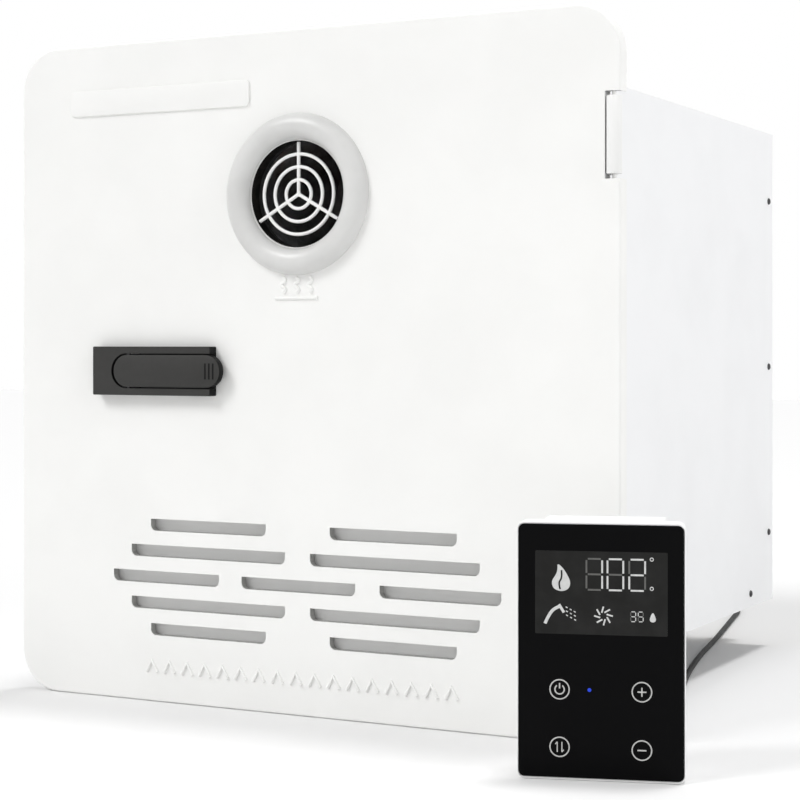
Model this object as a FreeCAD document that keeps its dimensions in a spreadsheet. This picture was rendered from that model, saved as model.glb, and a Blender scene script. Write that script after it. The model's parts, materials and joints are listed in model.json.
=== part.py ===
import FreeCAD, Part
import math
import os
import re

import Sketcher
from FreeCAD import Placement, Rotation, Vector

# Built-in propane water heater. X runs right seen from the front, Y into the wall, Z up.
# The origin is the centre of the mounting flange's back face, on the wall's plane.

SIZES = {
    # Access door: a sheet-metal pan whose rim turns back towards the wall.
    "door_side": 381.0,
    "door_depth": 9.0,
    "door_sheet": 0.8,
    "door_corner": 25.0,
    "door_edge_bend": 1.2,
    "door_gap": 1.0,
    # Rain slots in five rows, mirrored left and right.
    "slot_height": 6.9,
    "slot_pitch": 15.05,
    "slot_corner": 3.4,
    "slot_above_edge": 71.65,
    "outer_row_near": 20.5,
    "outer_row_far": 98.0,
    "inner_row_near": 8.0,
    "inner_row_far": 111.5,
    "middle_row_half": 36.5,
    "middle_row_near": 51.5,
    "middle_row_far": 124.0,
    "baffle_margin": 4.0,
    "baffle_depth": 6.0,
    # Exhaust bezel, its sleeve through the door and the wire grille in its throat.
    "exhaust_above": 98.6,
    "bezel_radius": 45.0,
    "throat_radius": 30.25,
    "sleeve_wall": 2.5,
    "sleeve_clearance": 0.15,
    "grille_outer_ring": 22.3,
    "grille_middle_ring": 15.2,
    "grille_inner_ring": 8.0,
    "grille_wire": 1.0,
    "grille_set_back": 1.5,
    "spoke_bite": 1.2,
    # Door hinges: a barrel on the frame between two lugs on the door.
    "hinge_in_from_edge": 4.0,
    "hinge_behind_face": 1.9,
    "hinge_length": 40.0,
    "hinge_middle": 122.5,
    "hinge_gap": 2.5,
    "barrel_radius": 4.0,
    "hinge_pin_radius": 1.0,
    "running_gap": 0.05,
    "hinge_sheet": 1.5,
    "hinge_leaf_width": 11.0,
    "lug_height": 4.0,
    "lug_reach": 3.0,
    "notch_gap": 0.5,
    # Paddle latch: base, lever, and a tongue that the lever's tail draws back.
    "latch_from_edge": 56.7,
    "latch_length": 80.5,
    "latch_height": 28.0,
    "latch_rise": 7.0,
    "latch_floor": 1.5,
    "lever_length": 72.3,
    "lever_height": 18.4,
    "lever_inset": 15.3,
    "lever_proud": 1.0,
    "lever_thick": 4.5,
    "lever_side_gap": 0.55,
    "latch_pin_radius": 1.0,
    "tail_arm": 10.5,
    "tail_half_width": 4.0,
    "tail_nose": 2.0,
    "tail_play": 0.6,
    "window_gap": 1.2,
    "latch_plate_sheet": 2.0,
    "latch_plate_length": 72.0,
    "tongue_half": 7.0,
    "tongue_thick": 4.0,
    "tongue_gap": 0.2,
    "tongue_stroke": 6.0,
    "tongue_tip_short": 2.75,
    "tongue_tip_thick": 2.6,
    "tongue_tip_length": 12.0,
    "tongue_length": 57.0,
    "tongue_step": 5.0,
    "guide_wall": 2.0,
    "strap_length": 8.0,
    "strap_thick": 1.0,
    "spring_room": 20.0,
    "spring_radius": 2.0,
    "spring_wire": 0.4,
    "spring_turns": 6.0,
    "strike_sheet": 0.6,
    "strike_half": 10.0,
    "strike_length": 13.0,
    "strike_lip": 6.9,
    "strike_back": 2.7,
    "strike_gap": 0.5,
    # Mounting flange and the seal on its front.
    "flange_lap": 22.25,
    "flange_sheet": 1.2,
    "flange_corner": 8.0,
    "flange_hole": 2.5,
    "flange_hole_inset": 10.5,
    "seal_inset": 0.25,
    "seal_width": 6.0,
    "seal_gap": 0.4,
    # Case.
    "door_lap": 31.75,
    "case_depth": 360.0,
    "case_sheet": 1.0,
    "case_lip": 16.0,
    "screw_head": 2.2,
    "screw_head_thick": 1.2,
    "screw_shank": 1.3,
    "screw_length": 6.0,
    "back_screw_inset": 9.4,
    "back_screw_rise": 112.5,
    "base_screw_rise": 8.75,
    "base_screw_front": 50.0,
    "base_screw_middle": 168.0,
    "base_screw_rear": 310.0,
    "front_room": 38.0,
    "sight_glass_x": -45.0,
    "sight_glass_z": -5.0,
    "sight_glass_radius": 10.0,
    "sight_glass_thick": 3.0,
    "intake_half": 50.0,
    "intake_height": 5.0,
    "intake_pitch": 11.0,
    "intake_top": -55.0,
    # Burner, chamber and heat exchanger, stacked.
    "duct_radius": 36.0,
    "duct_wall": 1.0,
    "gasket_thick": 5.0,
    "chamber_half": 80.0,
    "manifold_room": 54.0,
    "chamber_rear_gap": 18.0,
    "chamber_wall": 1.2,
    "chamber_bottom": -38.0,
    "chamber_height": 111.0,
    "hood_height": 58.0,
    "tray_height": 30.0,
    "tray_inset": 2.0,
    "bar_count": 8.0,
    "bar_thick": 9.0,
    "bar_height": 22.0,
    "bar_end_gap": 5.0,
    "fin_count": 26.0,
    "fin_thick": 0.8,
    "fin_height": 38.0,
    "fin_gap": 1.0,
    "tube_radius": 6.0,
    "tube_wall": 1.0,
    "pass_pitch": 30.0,
    "pass_inset": 23.0,
    "pass_above_bottom": 90.0,
    "loop_out": 4.0,
    "tube_bend": 14.0,
    "electrode_radius": 1.0,
    "electrode_ceramic": 3.5,
    "electrode_pitch": 18.0,
    "electrode_above": 12.0,
    # Fan under the burner.
    "fan_x": -12.0,
    "fan_front": 118.0,
    "fan_width": 40.0,
    "fan_radius": 41.0,
    "fan_wall": 2.0,
    "fan_neck": 2.0,
    "fan_outlet_width": 26.0,
    "fan_intake": 20.0,
    "impeller_radius": 31.0,
    "impeller_width": 26.0,
    "impeller_blades": 18.0,
    "impeller_sheet": 1.2,
    "impeller_end_gap": 4.0,
    "blade_depth": 7.0,
    "shaft_radius": 3.0,
    "motor_radius": 20.0,
    "motor_length": 30.0,
    # Gas train on the left.
    "gas_from_side": 37.75,
    "gas_below_chamber": 16.0,
    "gas_thread_radius": 7.94,
    "gas_thread_length": 18.0,
    "gas_pipe_radius": 5.0,
    "gas_hex": 10.0,
    "valve_front": 150.0,
    "valve_length": 70.0,
    "valve_half": 20.0,
    "valve_rise": 22.0,
    "coil_radius": 11.0,
    "coil_height": 28.0,
    "coil_inset": 18.0,
    "plunger_radius": 4.0,
    "plunger_length": 12.0,
    "plunger_travel": 3.0,
    "manifold_gap": 8.0,
    "manifold_thick": 12.0,
    "jet_radius": 2.5,
    # Water train on the right.
    "cold_from_side": 32.75,
    "hot_from_cold": 20.0,
    "cold_above_base": 27.75,
    "hot_above_base": 62.75,
    "thread_relief": 1.0,
    "thread_relief_deep": 0.8,
    "water_thread_radius": 10.67,
    "water_thread_length": 22.0,
    "water_hex": 14.0,
    "hex_thick": 10.0,
    "sensor_length": 50.0,
    "sensor_half": 17.0,
    "sensor_inset": 34.0,
    "turbine_radius": 8.0,
    "turbine_gap": 0.6,
    "turbine_length": 14.0,
    "turbine_spindle": 1.0,
    "turbine_blades": 4.0,
    "relief_front": 22.0,
    "relief_radius": 10.0,
    "relief_length": 40.0,
    "spout_radius": 6.5,
    "spout_drop": 24.0,
    "relief_lever_length": 18.0,
    "relief_lever_half": 4.0,
    "relief_lever_thick": 1.5,
    "relief_pin_out": 2.0,
    "relief_pin_rise": 6.5,
    "relief_pin_radius": 1.0,
    "relief_knuckle": 1.7,
    "ear_half": 2.5,
    "ear_gap": 0.2,
    "ear_wall": 2.0,
    "drain_hex": 9.0,
    # Controls.
    "control_left_gap": 2.0,
    "control_thick": 40.0,
    "control_front": 70.0,
    "control_length": 170.0,
    "control_bottom": 10.0,
    "control_height": 120.0,
    "control_wall": 1.5,
    "board_thick": 1.6,
    "board_margin": 6.0,
    "transformer_side": 18.0,
    "switch_from_side": 42.75,
    "switch_z": 20.0,
    "switch_width": 15.0,
    "switch_height": 24.0,
    "switch_bezel": 2.0,
    "switch_deep": 14.0,
    "rocker_width": 11.0,
    "rocker_height": 16.0,
    "rocker_gap": 0.2,
    "rocker_sweep": 1.8,
    "rocker_rise": 3.0,
    "rocker_pivot": 1.2,
    "rocker_pin_reach": 0.8,
    "rocker_pivot_deep": 2.0,
    "rocker_dish": 1.2,
    "gland_x": 60.0,
    "gland_above_base": 32.75,
    "gland_radius": 9.0,
    "gland_length": 12.0,
    # Touch panel, stood on the floor in front of the door's lower right corner.
    "panel_x": 209.1,
    "panel_y": -85.5,
    "panel_turn": 16.8,
    "glass_width": 77.9,
    "glass_height": 119.6,
    "glass_thick": 2.0,
    "panel_border": 1.2,
    "panel_side_border": 0.5,
    "panel_thick": 13.0,
    "panel_wall": 2.0,
    "panel_corner": 3.6,
    "glass_corner": 2.8,
    "box_width": 58.0,
    "box_height": 121.5,
    "box_depth": 28.0,
    "box_wall": 2.0,
    "lead_side": 20.0,
    "lead_above": 10.5,
    # Cable from the touch panel, with its spare length wound behind the case.
    "cable_diameter": 3.5,
    "cable_gap": 0.45,
    "winding_x": -34.0,
    "winding_behind": 44.0,
    "winding_inner": 14.0,
    "winding_layers": 4.0,
    "winding_turns": 3.625,
    "tie_thick": 0.8,
    "tie_width": 5.0,
    "tie_gap": 0.3,
}

PLACES = {
    "door_back": "-(flange_sheet + door_gap)",
    "door_front": "door_back - door_depth",
    "door_inside": "door_front + door_sheet",
    "door_half": "door_side / 2",
    "floor_z": "-door_half",
    "case_side": "door_side - 2 * door_lap",
    "case_half": "case_side / 2",
    "flange_side": "case_side + 2 * flange_lap",
    "seal_side": "case_side + 2 * (seal_inset + seal_width)",
    "case_inside": "case_half - case_sheet",
    "sleeve_radius": "throat_radius + sleeve_wall",
    "bezel_middle": "(bezel_radius + throat_radius) / 2",
    "bezel_roll": "(bezel_radius - throat_radius) / 2",
    "slot_middle_z": "slot_above_edge - door_half",
    "hinge_x": "door_half - hinge_in_from_edge",
    "hinge_y": "door_front + hinge_behind_face",
    "hinge_low": "hinge_middle - hinge_length / 2",
    "hinge_high": "hinge_middle + hinge_length / 2",
    "notch_x": "hinge_x - barrel_radius - notch_gap",
    "leaf_right": "notch_x",
    "latch_face": "door_front - latch_rise",
    "latch_left": "latch_from_edge - door_half",
    "latch_right": "latch_left + latch_length",
    "lever_half": "lever_height / 2",
    "lever_left": "latch_left + lever_inset",
    "lever_right": "lever_left + lever_length",
    "lever_face": "latch_face - lever_proud",
    "lever_back": "lever_face + lever_thick",
    "latch_pin_x": "lever_left + lever_half",
    "latch_pin_y": "(lever_face + lever_back) / 2",
    "channel_half": "lever_half + lever_side_gap",
    "window_left": "lever_left - window_gap",
    "window_right": "latch_pin_x + tail_arm",
    "nose_y": "latch_pin_y + tail_arm",
    "latch_plate_back": "door_inside + latch_plate_sheet",
    "tongue_front": "latch_plate_back + tongue_gap",
    "tongue_back": "tongue_front + tongue_thick",
    "tongue_left": "tongue_tip_short - case_inside",
    "tongue_right": "tongue_left + tongue_length",
    "tip_front": "strike_back + strike_gap",
    "tip_back": "tip_front + tongue_tip_thick",
    "panel_face": "front_room",
    "sensor_back": "case_depth - sensor_inset",
    "sensor_front": "sensor_back - sensor_length",
    "chamber_front": "panel_face + manifold_room",
    "chamber_back": "sensor_front - chamber_rear_gap",
    "pass_rear": "chamber_back - pass_inset",
    "manifold_front": "chamber_front - manifold_thick - manifold_gap",
    "chamber_top": "chamber_bottom + chamber_height",
    "tray_bottom": "chamber_bottom - tray_height",
    "pass_z": "chamber_bottom + pass_above_bottom",
    "pass_front": "pass_rear - 3 * pass_pitch",
    "fitting_front": "case_depth - case_sheet - hex_thick",
    "fan_outlet_left": "fan_x + fan_radius - fan_outlet_width",
    "fan_outlet_right": "fan_x + fan_radius",
    "fan_z": "tray_bottom - fan_radius - fan_neck",
    "fan_back": "fan_front + fan_width",
    "gas_x": "gas_from_side - case_inside",
    "gas_z": "chamber_bottom - gas_below_chamber",
    "cold_z": "cold_above_base - case_inside",
    "hot_z": "hot_above_base - case_inside",
    "gland_z": "gland_above_base - case_inside",
    "thread_start": "case_depth + thread_relief",
    "cold_x": "case_inside - cold_from_side",
    "hot_x": "cold_x - hot_from_cold",
    "relief_x": "hot_x",
    "switch_x": "case_inside - switch_from_side",
    "valve_back": "valve_front + valve_length",
    "valve_low": "gas_z - valve_rise",
    "valve_top": "gas_z + valve_rise",
    "plunger_y": "valve_front + valve_length / 2",
    "relief_z": "hot_z",
    "relief_back": "relief_front + relief_length",
    "relief_pin_y": "relief_front - relief_pin_out",
    "relief_pin_z": "relief_z + relief_pin_rise",
    "ear_reach": "relief_lever_half + ear_gap",
    "spout_y": "relief_front + relief_radius - 2",
    "control_left": "-case_inside + control_left_gap",
    "control_right": "control_left + control_thick",
    "switch_cavity_half": "rocker_height / 2 + rocker_sweep",
    "rocker_y": "panel_face + rocker_pivot_deep",
    "panel_width": "glass_width + 2 * panel_side_border",
    "panel_height": "glass_height + 2 * panel_border",
    "box_back": "panel_thick + box_depth",
    "cable_radius": "cable_diameter / 2",
    "cable_floor": "floor_z + cable_radius",
    "winding_pitch": "cable_diameter + cable_gap",
    "winding_y": "case_depth + winding_behind",
    "winding_low": "floor_z + tie_thick + tie_gap + cable_radius",
    "winding_outer": "winding_inner + winding_turns * winding_pitch",
}

doc = FreeCAD.newDocument("WallWaterHeater")
sizes = doc.addObject("Spreadsheet::Sheet", "Sizes")
places = doc.addObject("App::VarSet", "Places")
nodes = []

WORD = re.compile(r"[a-z_]+")
AXIS_TURN = {
    "X": Rotation(Vector(0, 1, 0), 90),
    "Y": Rotation(Vector(1, 0, 0), -90),
    "Z": Rotation(),
}


def formula(text):
    """Name the sheet or the set of places before each of their words in a formula."""

    def owned(found):
        word = found.group()
        if word in SIZES:
            return "Sizes." + word
        if word in PLACES:
            return "Places." + word
        return word

    return WORD.sub(owned, str(text))


def fill_sheet():
    """Write each driving size once, then work out the places that follow from them."""
    for row, (alias, number) in enumerate(SIZES.items(), start=1):
        sizes.set(f"A{row}", alias)
        sizes.set(f"B{row}", str(number))
        sizes.setAlias(f"B{row}", alias)
    doc.recompute()
    for name, text in PLACES.items():
        places.addProperty("App::PropertyFloat", name)
        places.setExpression(name, formula(text))
    doc.recompute()


def bind(item, **formulas):
    """Bind properties of an object to formulas on the sheet."""
    for name, text in formulas.items():
        item.setExpression(name, formula(text))
    return item


def move(item, x="0", y="0", z="0"):
    """Bind an object's place to three formulas."""
    for letter, text in zip("xyz", (x, y, z)):
        item.setExpression(f"Placement.Base.{letter}", formula(text))
    return item


def node(item):
    """Keep an object as one sub-part of the assembly."""
    nodes.append(item)
    return item


def slab(name, across, deep, tall):
    """A block between two formulas along each of X, Y and Z."""
    solid = doc.addObject("Part::Box", name)
    low = [ends[0] for ends in (across, deep, tall)]
    high = [ends[1] for ends in (across, deep, tall)]
    bind(
        solid,
        Length=f"({high[0]}) - ({low[0]})",
        Width=f"({high[1]}) - ({low[1]})",
        Height=f"({high[2]}) - ({low[2]})",
    )
    return move(solid, *low)


def rod(name, axis, run, centre, radius):
    """A round bar along an axis, centred on two formulas across it."""
    solid = doc.addObject("Part::Cylinder", name)
    solid.Placement = Placement(Vector(), AXIS_TURN[axis])
    bind(solid, Radius=radius, Height=f"({run[1]}) - ({run[0]})")
    corner = list(centre)
    corner.insert("XYZ".index(axis), run[0])
    return move(solid, *corner)


def hexagon(name, axis, run, centre, radius):
    """A six-sided bar along an axis, by the radius of its corners."""
    solid = doc.addObject("Part::Prism", name)
    solid.Polygon = 6
    solid.Placement = Placement(Vector(), AXIS_TURN[axis])
    bind(solid, Circumradius=radius, Height=f"({run[1]}) - ({run[0]})")
    corner = list(centre)
    corner.insert("XYZ".index(axis), run[0])
    return move(solid, *corner)


def fuse(name, *solids):
    """Join solids into one."""
    joined = doc.addObject("Part::MultiFuse", name)
    joined.Shapes = list(solids)
    return joined


def cut(name, base, *tools):
    """Take tools away from a solid."""
    result = doc.addObject("Part::Cut", name)
    result.Base = base
    result.Tool = tools[0] if len(tools) == 1 else group(name + "_tools", *tools)
    return result


def group(name, *solids):
    """Hold separate solids together as one object."""
    held = doc.addObject("Part::Compound", name)
    held.Links = list(solids)
    return held


def mirror(name, source, normal):
    """The mirror image of a solid in a plane through the origin."""
    image = doc.addObject("Part::Mirroring", name)
    image.Source = source
    image.Normal = normal
    return image


def new_body(name, y="0"):
    """A body whose sketches stand in the XZ plane at a given depth."""
    body = doc.addObject("PartDesign::Body", name)
    return move(body, y=y)


def sketch_in(body, name, role="XZ_Plane"):
    """A sketch on one of the body's own origin planes."""
    plane = next(item for item in body.Origin.OriginFeatures if item.Role == role)
    sketch = body.newObject("Sketcher::SketchObject", name)
    sketch.AttachmentSupport = (plane, [""])
    sketch.MapMode = "FlatFace"
    return sketch


def tie(sketch, kind, geometry, point, text):
    """Hold a point of a sketch at a formula's distance from the origin."""
    index = sketch.addConstraint(Sketcher.Constraint(kind, -1, 1, geometry, point, 1.0))
    sketch.setExpression(f"Constraints[{index}]", formula(text))


def outline(sketch, corners):
    """Draw a closed outline whose corners are pairs of formulas."""
    first = len(sketch.Geometry)
    count = len(corners)
    rim = [Vector(math.cos(2 * math.pi * step / count), math.sin(2 * math.pi * step / count), 0)
           for step in range(count)]
    for step in range(count):
        sketch.addGeometry(Part.LineSegment(rim[step], rim[(step + 1) % count]))
    for step in range(count):
        after = first + (step + 1) % count
        sketch.addConstraint(Sketcher.Constraint("Coincident", first + step, 2, after, 1))
    for step, (across, up) in enumerate(corners):
        tie(sketch, "DistanceX", first + step, 1, across)
        tie(sketch, "DistanceY", first + step, 1, up)


def rectangle(sketch, left, right, low, high):
    """Draw a rectangle between four formulas."""
    outline(sketch, [(left, low), (right, low), (right, high), (left, high)])


def circle(sketch, across, up, radius):
    """Draw a circle whose centre and radius are formulas."""
    index = sketch.addGeometry(Part.Circle(Vector(1, 1, 0), Vector(0, 0, 1), 1.0))
    tie(sketch, "DistanceX", index, 3, across)
    tie(sketch, "DistanceY", index, 3, up)
    size = sketch.addConstraint(Sketcher.Constraint("Radius", index, 1.0))
    sketch.setExpression(f"Constraints[{size}]", formula(radius))


def pad(body, sketch, length):
    """Raise a sketch off its plane, towards the front for an XZ sketch."""
    raised = body.newObject("PartDesign::Pad", sketch.Name + "_pad")
    raised.Profile = sketch
    return bind(raised, Length=length)


def pocket(body, sketch, length):
    """Cut a sketch into the solid in front of its plane."""
    before = body.Tip
    doc.recompute()
    volume = before.Shape.Volume
    hollow = body.newObject("PartDesign::Pocket", sketch.Name + "_pocket")
    hollow.Profile = sketch
    hollow.Reversed = True
    bind(hollow, Length=length)
    doc.recompute()
    if hollow.Shape.Volume >= volume:
        raise ValueError(sketch.Name + " cuts nothing")
    return hollow


def round_edges(body, name, wanted, radius):
    """Round the edges of the body's last feature that a test picks."""
    doc.recompute()
    base = body.Tip
    picked = [f"Edge{number}" for number, edge in enumerate(base.Shape.Edges, start=1) if wanted(edge)]
    rounded = body.newObject("PartDesign::Fillet", name)
    rounded.Base = (base, picked)
    return bind(rounded, Radius=radius)


def straight_along(edge, axis):
    """True for a straight edge along an axis."""
    if not isinstance(edge.Curve, Part.Line):
        return False
    return abs(edge.Curve.Direction.dot(axis)) > 0.999


def upright(edge):
    """True for an edge that runs front to back."""
    return straight_along(edge, Vector(0, 1, 0))


def near_side(edge, half):
    """True for an edge whose middle lies at a given distance to the left or right."""
    return abs(abs(edge.CenterOfMass.x) - half) < 0.01


def bent_path(points, radii):
    """Straight runs through points, joined by a tangent arc at each inner point."""
    edges = []
    start = points[0]
    for before, corner, after, radius in zip(points, points[1:], points[2:], radii):
        arrive = (corner - before).normalize()
        leave = (after - corner).normalize()
        turn = arrive.getAngle(leave)
        reach = radius * math.tan(turn / 2)
        inward = (leave - arrive).normalize()
        middle = corner + inward * (radius / math.cos(turn / 2) - radius)
        first = corner - arrive * reach
        last = corner + leave * reach
        edges.append(Part.LineSegment(start, first).toShape())
        edges.append(Part.Arc(first, middle, last).toShape())
        start = last
    edges.append(Part.LineSegment(start, points[-1]).toShape())
    return Part.Wire(edges)


def round_sweep(path, radius):
    """A round bar along a path."""
    start = path.Edges[0]
    along = start.tangentAt(start.FirstParameter)
    profile = Part.Wire(Part.Circle(start.valueAt(start.FirstParameter), along, radius).toShape())
    return path.makePipeShell([profile], True, False)


def feature(name, shape):
    """An object that holds a shape worked out in code."""
    item = doc.addObject("Part::Feature", name)
    item.Shape = shape
    return item


def slot_rows():
    """Each row's height offset in pitches, with the near and far ends of its right-hand slots."""
    return [
        (2, "outer_row_near", "outer_row_far"),
        (1, "inner_row_near", "inner_row_far"),
        (0, "middle_row_near", "middle_row_far"),
        (-1, "inner_row_near", "inner_row_far"),
        (-2, "outer_row_near", "outer_row_far"),
    ]


def make_door_panel():
    """The painted pan with its exhaust opening, slots, latch window and hinge notches."""
    body = new_body("door_panel", y="door_back")
    face = sketch_in(body, "door_face")
    rectangle(face, "-door_half", "door_half", "-door_half", "door_half")
    pad(body, face, "door_depth")
    hollow = sketch_in(body, "door_hollow")
    inside = "door_half - door_sheet"
    rectangle(hollow, f"-({inside})", inside, f"-({inside})", inside)
    pocket(body, hollow, "door_depth - door_sheet")
    inner = places.door_half - sizes.door_sheet
    round_edges(body, "door_inside_corners", lambda edge: upright(edge) and near_side(edge, inner),
                "door_corner - door_sheet")
    round_edges(body, "door_corners", lambda edge: upright(edge) and near_side(edge, places.door_half),
                "door_corner")
    front = -sizes.door_depth
    round_edges(
        body, "door_rim_bend",
        lambda edge: all(abs(vertex.Y - front) < 0.001 for vertex in edge.Vertexes), "door_edge_bend",
    )
    openings = sketch_in(body, "door_openings")
    circle(openings, "0", "exhaust_above", "sleeve_radius + sleeve_clearance")
    rectangle(openings, "window_left", "window_right", "-channel_half", "channel_half")
    for low, high in (("hinge_low", "hinge_high"), ("-hinge_high", "-hinge_low")):
        rectangle(openings, "notch_x", "door_half + 1", f"{low} - hinge_gap", f"{high} + hinge_gap")
    pocket(body, openings, "door_depth + 1")
    slots = sketch_in(body, "door_slots")
    for offset, near, far in slot_rows():
        low = f"{offset} * slot_pitch + slot_middle_z - slot_height / 2"
        high = f"{offset} * slot_pitch + slot_middle_z + slot_height / 2"
        rectangle(slots, near, far, low, high)
        rectangle(slots, f"-{far}", f"-{near}", low, high)
    rectangle(
        slots, "-middle_row_half", "middle_row_half",
        "slot_middle_z - slot_height / 2", "slot_middle_z + slot_height / 2",
    )
    pocket(body, slots, "door_depth + 1")
    bottoms = [
        offset * sizes.slot_pitch + places.slot_middle_z - sizes.slot_height / 2
        for offset, _, _ in slot_rows()
    ]
    reach = sizes.middle_row_far + 1
    round_edges(
        body, "slot_corners",
        lambda edge: upright(edge) and abs(edge.CenterOfMass.x) < reach
        and any(abs(edge.CenterOfMass.z - bottom) < 0.01 for bottom in bottoms),
        "slot_corner",
    )
    node(body)


def make_exhaust_ring():
    """The moulded bezel: a half-round roll in front of the door and a sleeve through it."""
    roll = doc.addObject("Part::Torus", "bezel_roll_whole")
    roll.Placement = Placement(Vector(), AXIS_TURN["Y"])
    bind(roll, Radius1="bezel_middle", Radius2="bezel_roll")
    move(roll, "0", "door_front", "exhaust_above")
    wide = ("-bezel_radius - 1", "bezel_radius + 1")
    tall = ("exhaust_above - bezel_radius - 1", "exhaust_above + bezel_radius + 1")
    behind = slab("bezel_behind", wide, ("door_front", "door_front + bezel_radius"), tall)
    centre = ("0", "exhaust_above")
    tube = rod("bezel_sleeve", "Y", ("door_front", "door_back"), centre, "sleeve_radius")
    throat = rod("bezel_throat", "Y", ("door_front - 1", "door_back + 1"), centre, "throat_radius")
    sockets = [spoke(f"spoke_socket_{turn}", turn) for turn in (90, 210, 330)]
    front = cut("bezel_roll_front", roll, behind)
    return node(cut("exhaust_ring", fuse("bezel_solid", front, cut("bezel_tube", tube, throat)), *sockets))


def spoke(name, turn):
    """One straight wire of the grille from the centre into the sleeve."""
    wire = doc.addObject("Part::Cylinder", name)
    wire.Placement = Placement(Vector(), Rotation(Vector(0, 1, 0), 90 - turn))
    bind(wire, Radius="grille_wire", Height="throat_radius + spoke_bite")
    return move(wire, "0", "door_front + grille_set_back", "exhaust_above")


def make_exhaust_grille():
    """Three wire rings on three spokes."""
    wires = [spoke(f"spoke_{turn}", turn) for turn in (90, 210, 330)]
    for name in ("grille_outer_ring", "grille_middle_ring", "grille_inner_ring"):
        ring = doc.addObject("Part::Torus", name + "_wire")
        ring.Placement = Placement(Vector(), AXIS_TURN["Y"])
        bind(ring, Radius1=name, Radius2="grille_wire")
        wires.append(move(ring, "0", "door_front + grille_set_back", "exhaust_above"))
    node(fuse("exhaust_grille", *wires))


def make_rain_baffle():
    """A shallow tray behind the slots, open at the bottom so that water runs out."""
    half = "middle_row_far + baffle_margin"
    low = "slot_middle_z - 2 * slot_pitch - slot_height / 2 - baffle_margin"
    high = "slot_middle_z + 2 * slot_pitch + slot_height / 2 + baffle_margin"
    back = "door_inside + baffle_depth"
    tray = slab("baffle_block", (f"-({half})", half), ("door_inside", back), (low, high))
    room = slab(
        "baffle_room", (f"-({half}) + door_sheet", f"{half} - door_sheet"),
        ("door_inside - 1", f"{back} - door_sheet"), (f"{low} - 1", f"{high} - door_sheet"),
    )
    node(cut("rain_baffle", tray, room))


def make_hinges():
    """Barrels on the frame, leaves with lugs on the door, and the pins that join them."""
    pin = rod("hinge_pin_upper", "Z", ("hinge_low - hinge_gap - lug_height + 1",
                                       "hinge_high + hinge_gap + lug_height - 1"),
              ("hinge_x", "hinge_y"), "hinge_pin_radius")
    plate = slab("bracket_plate", ("hinge_x - barrel_radius - hinge_leaf_width", "hinge_x - 1"),
                 ("-flange_sheet - hinge_sheet", "-flange_sheet"), ("hinge_low", "hinge_high"))
    arm = slab("bracket_arm", ("hinge_x - 1 - hinge_sheet", "hinge_x - 1"),
               ("hinge_y", "-flange_sheet"), ("hinge_low", "hinge_high"))
    barrel = rod("bracket_barrel", "Z", ("hinge_low", "hinge_high"), ("hinge_x", "hinge_y"),
                 "barrel_radius")
    bore = rod("bracket_bore", "Z", ("hinge_low - 1", "hinge_high + 1"), ("hinge_x", "hinge_y"),
               "hinge_pin_radius + running_gap")
    top = cut("hinge_bracket_upper", fuse("bracket_solid", plate, arm, barrel), bore)
    node(group("hinge_brackets", top, mirror("hinge_bracket_lower", top, Vector(0, 0, 1))))
    leaf = slab("leaf_plate", ("leaf_right - hinge_leaf_width", "leaf_right"),
                ("door_inside", "door_inside + hinge_sheet"),
                ("hinge_low - hinge_gap - lug_height", "hinge_high + hinge_gap + lug_height"))
    lugs = [
        slab(f"lug_{name}", ("leaf_right - 1", "hinge_x + lug_reach"),
             ("door_inside", "hinge_y + lug_reach"), ends)
        for name, ends in (
            ("under", ("hinge_low - hinge_gap - lug_height", "hinge_low - hinge_gap")),
            ("over", ("hinge_high + hinge_gap", "hinge_high + hinge_gap + lug_height")),
        )
    ]
    upper = cut("hinge_leaf_upper", fuse("leaf_solid", leaf, *lugs), pin)
    node(group("hinge_leaves", upper, mirror("hinge_leaf_lower", upper, Vector(0, 0, 1))))
    node(group("hinge_pins", pin, mirror("hinge_pin_lower", pin, Vector(0, 0, 1))))


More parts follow.
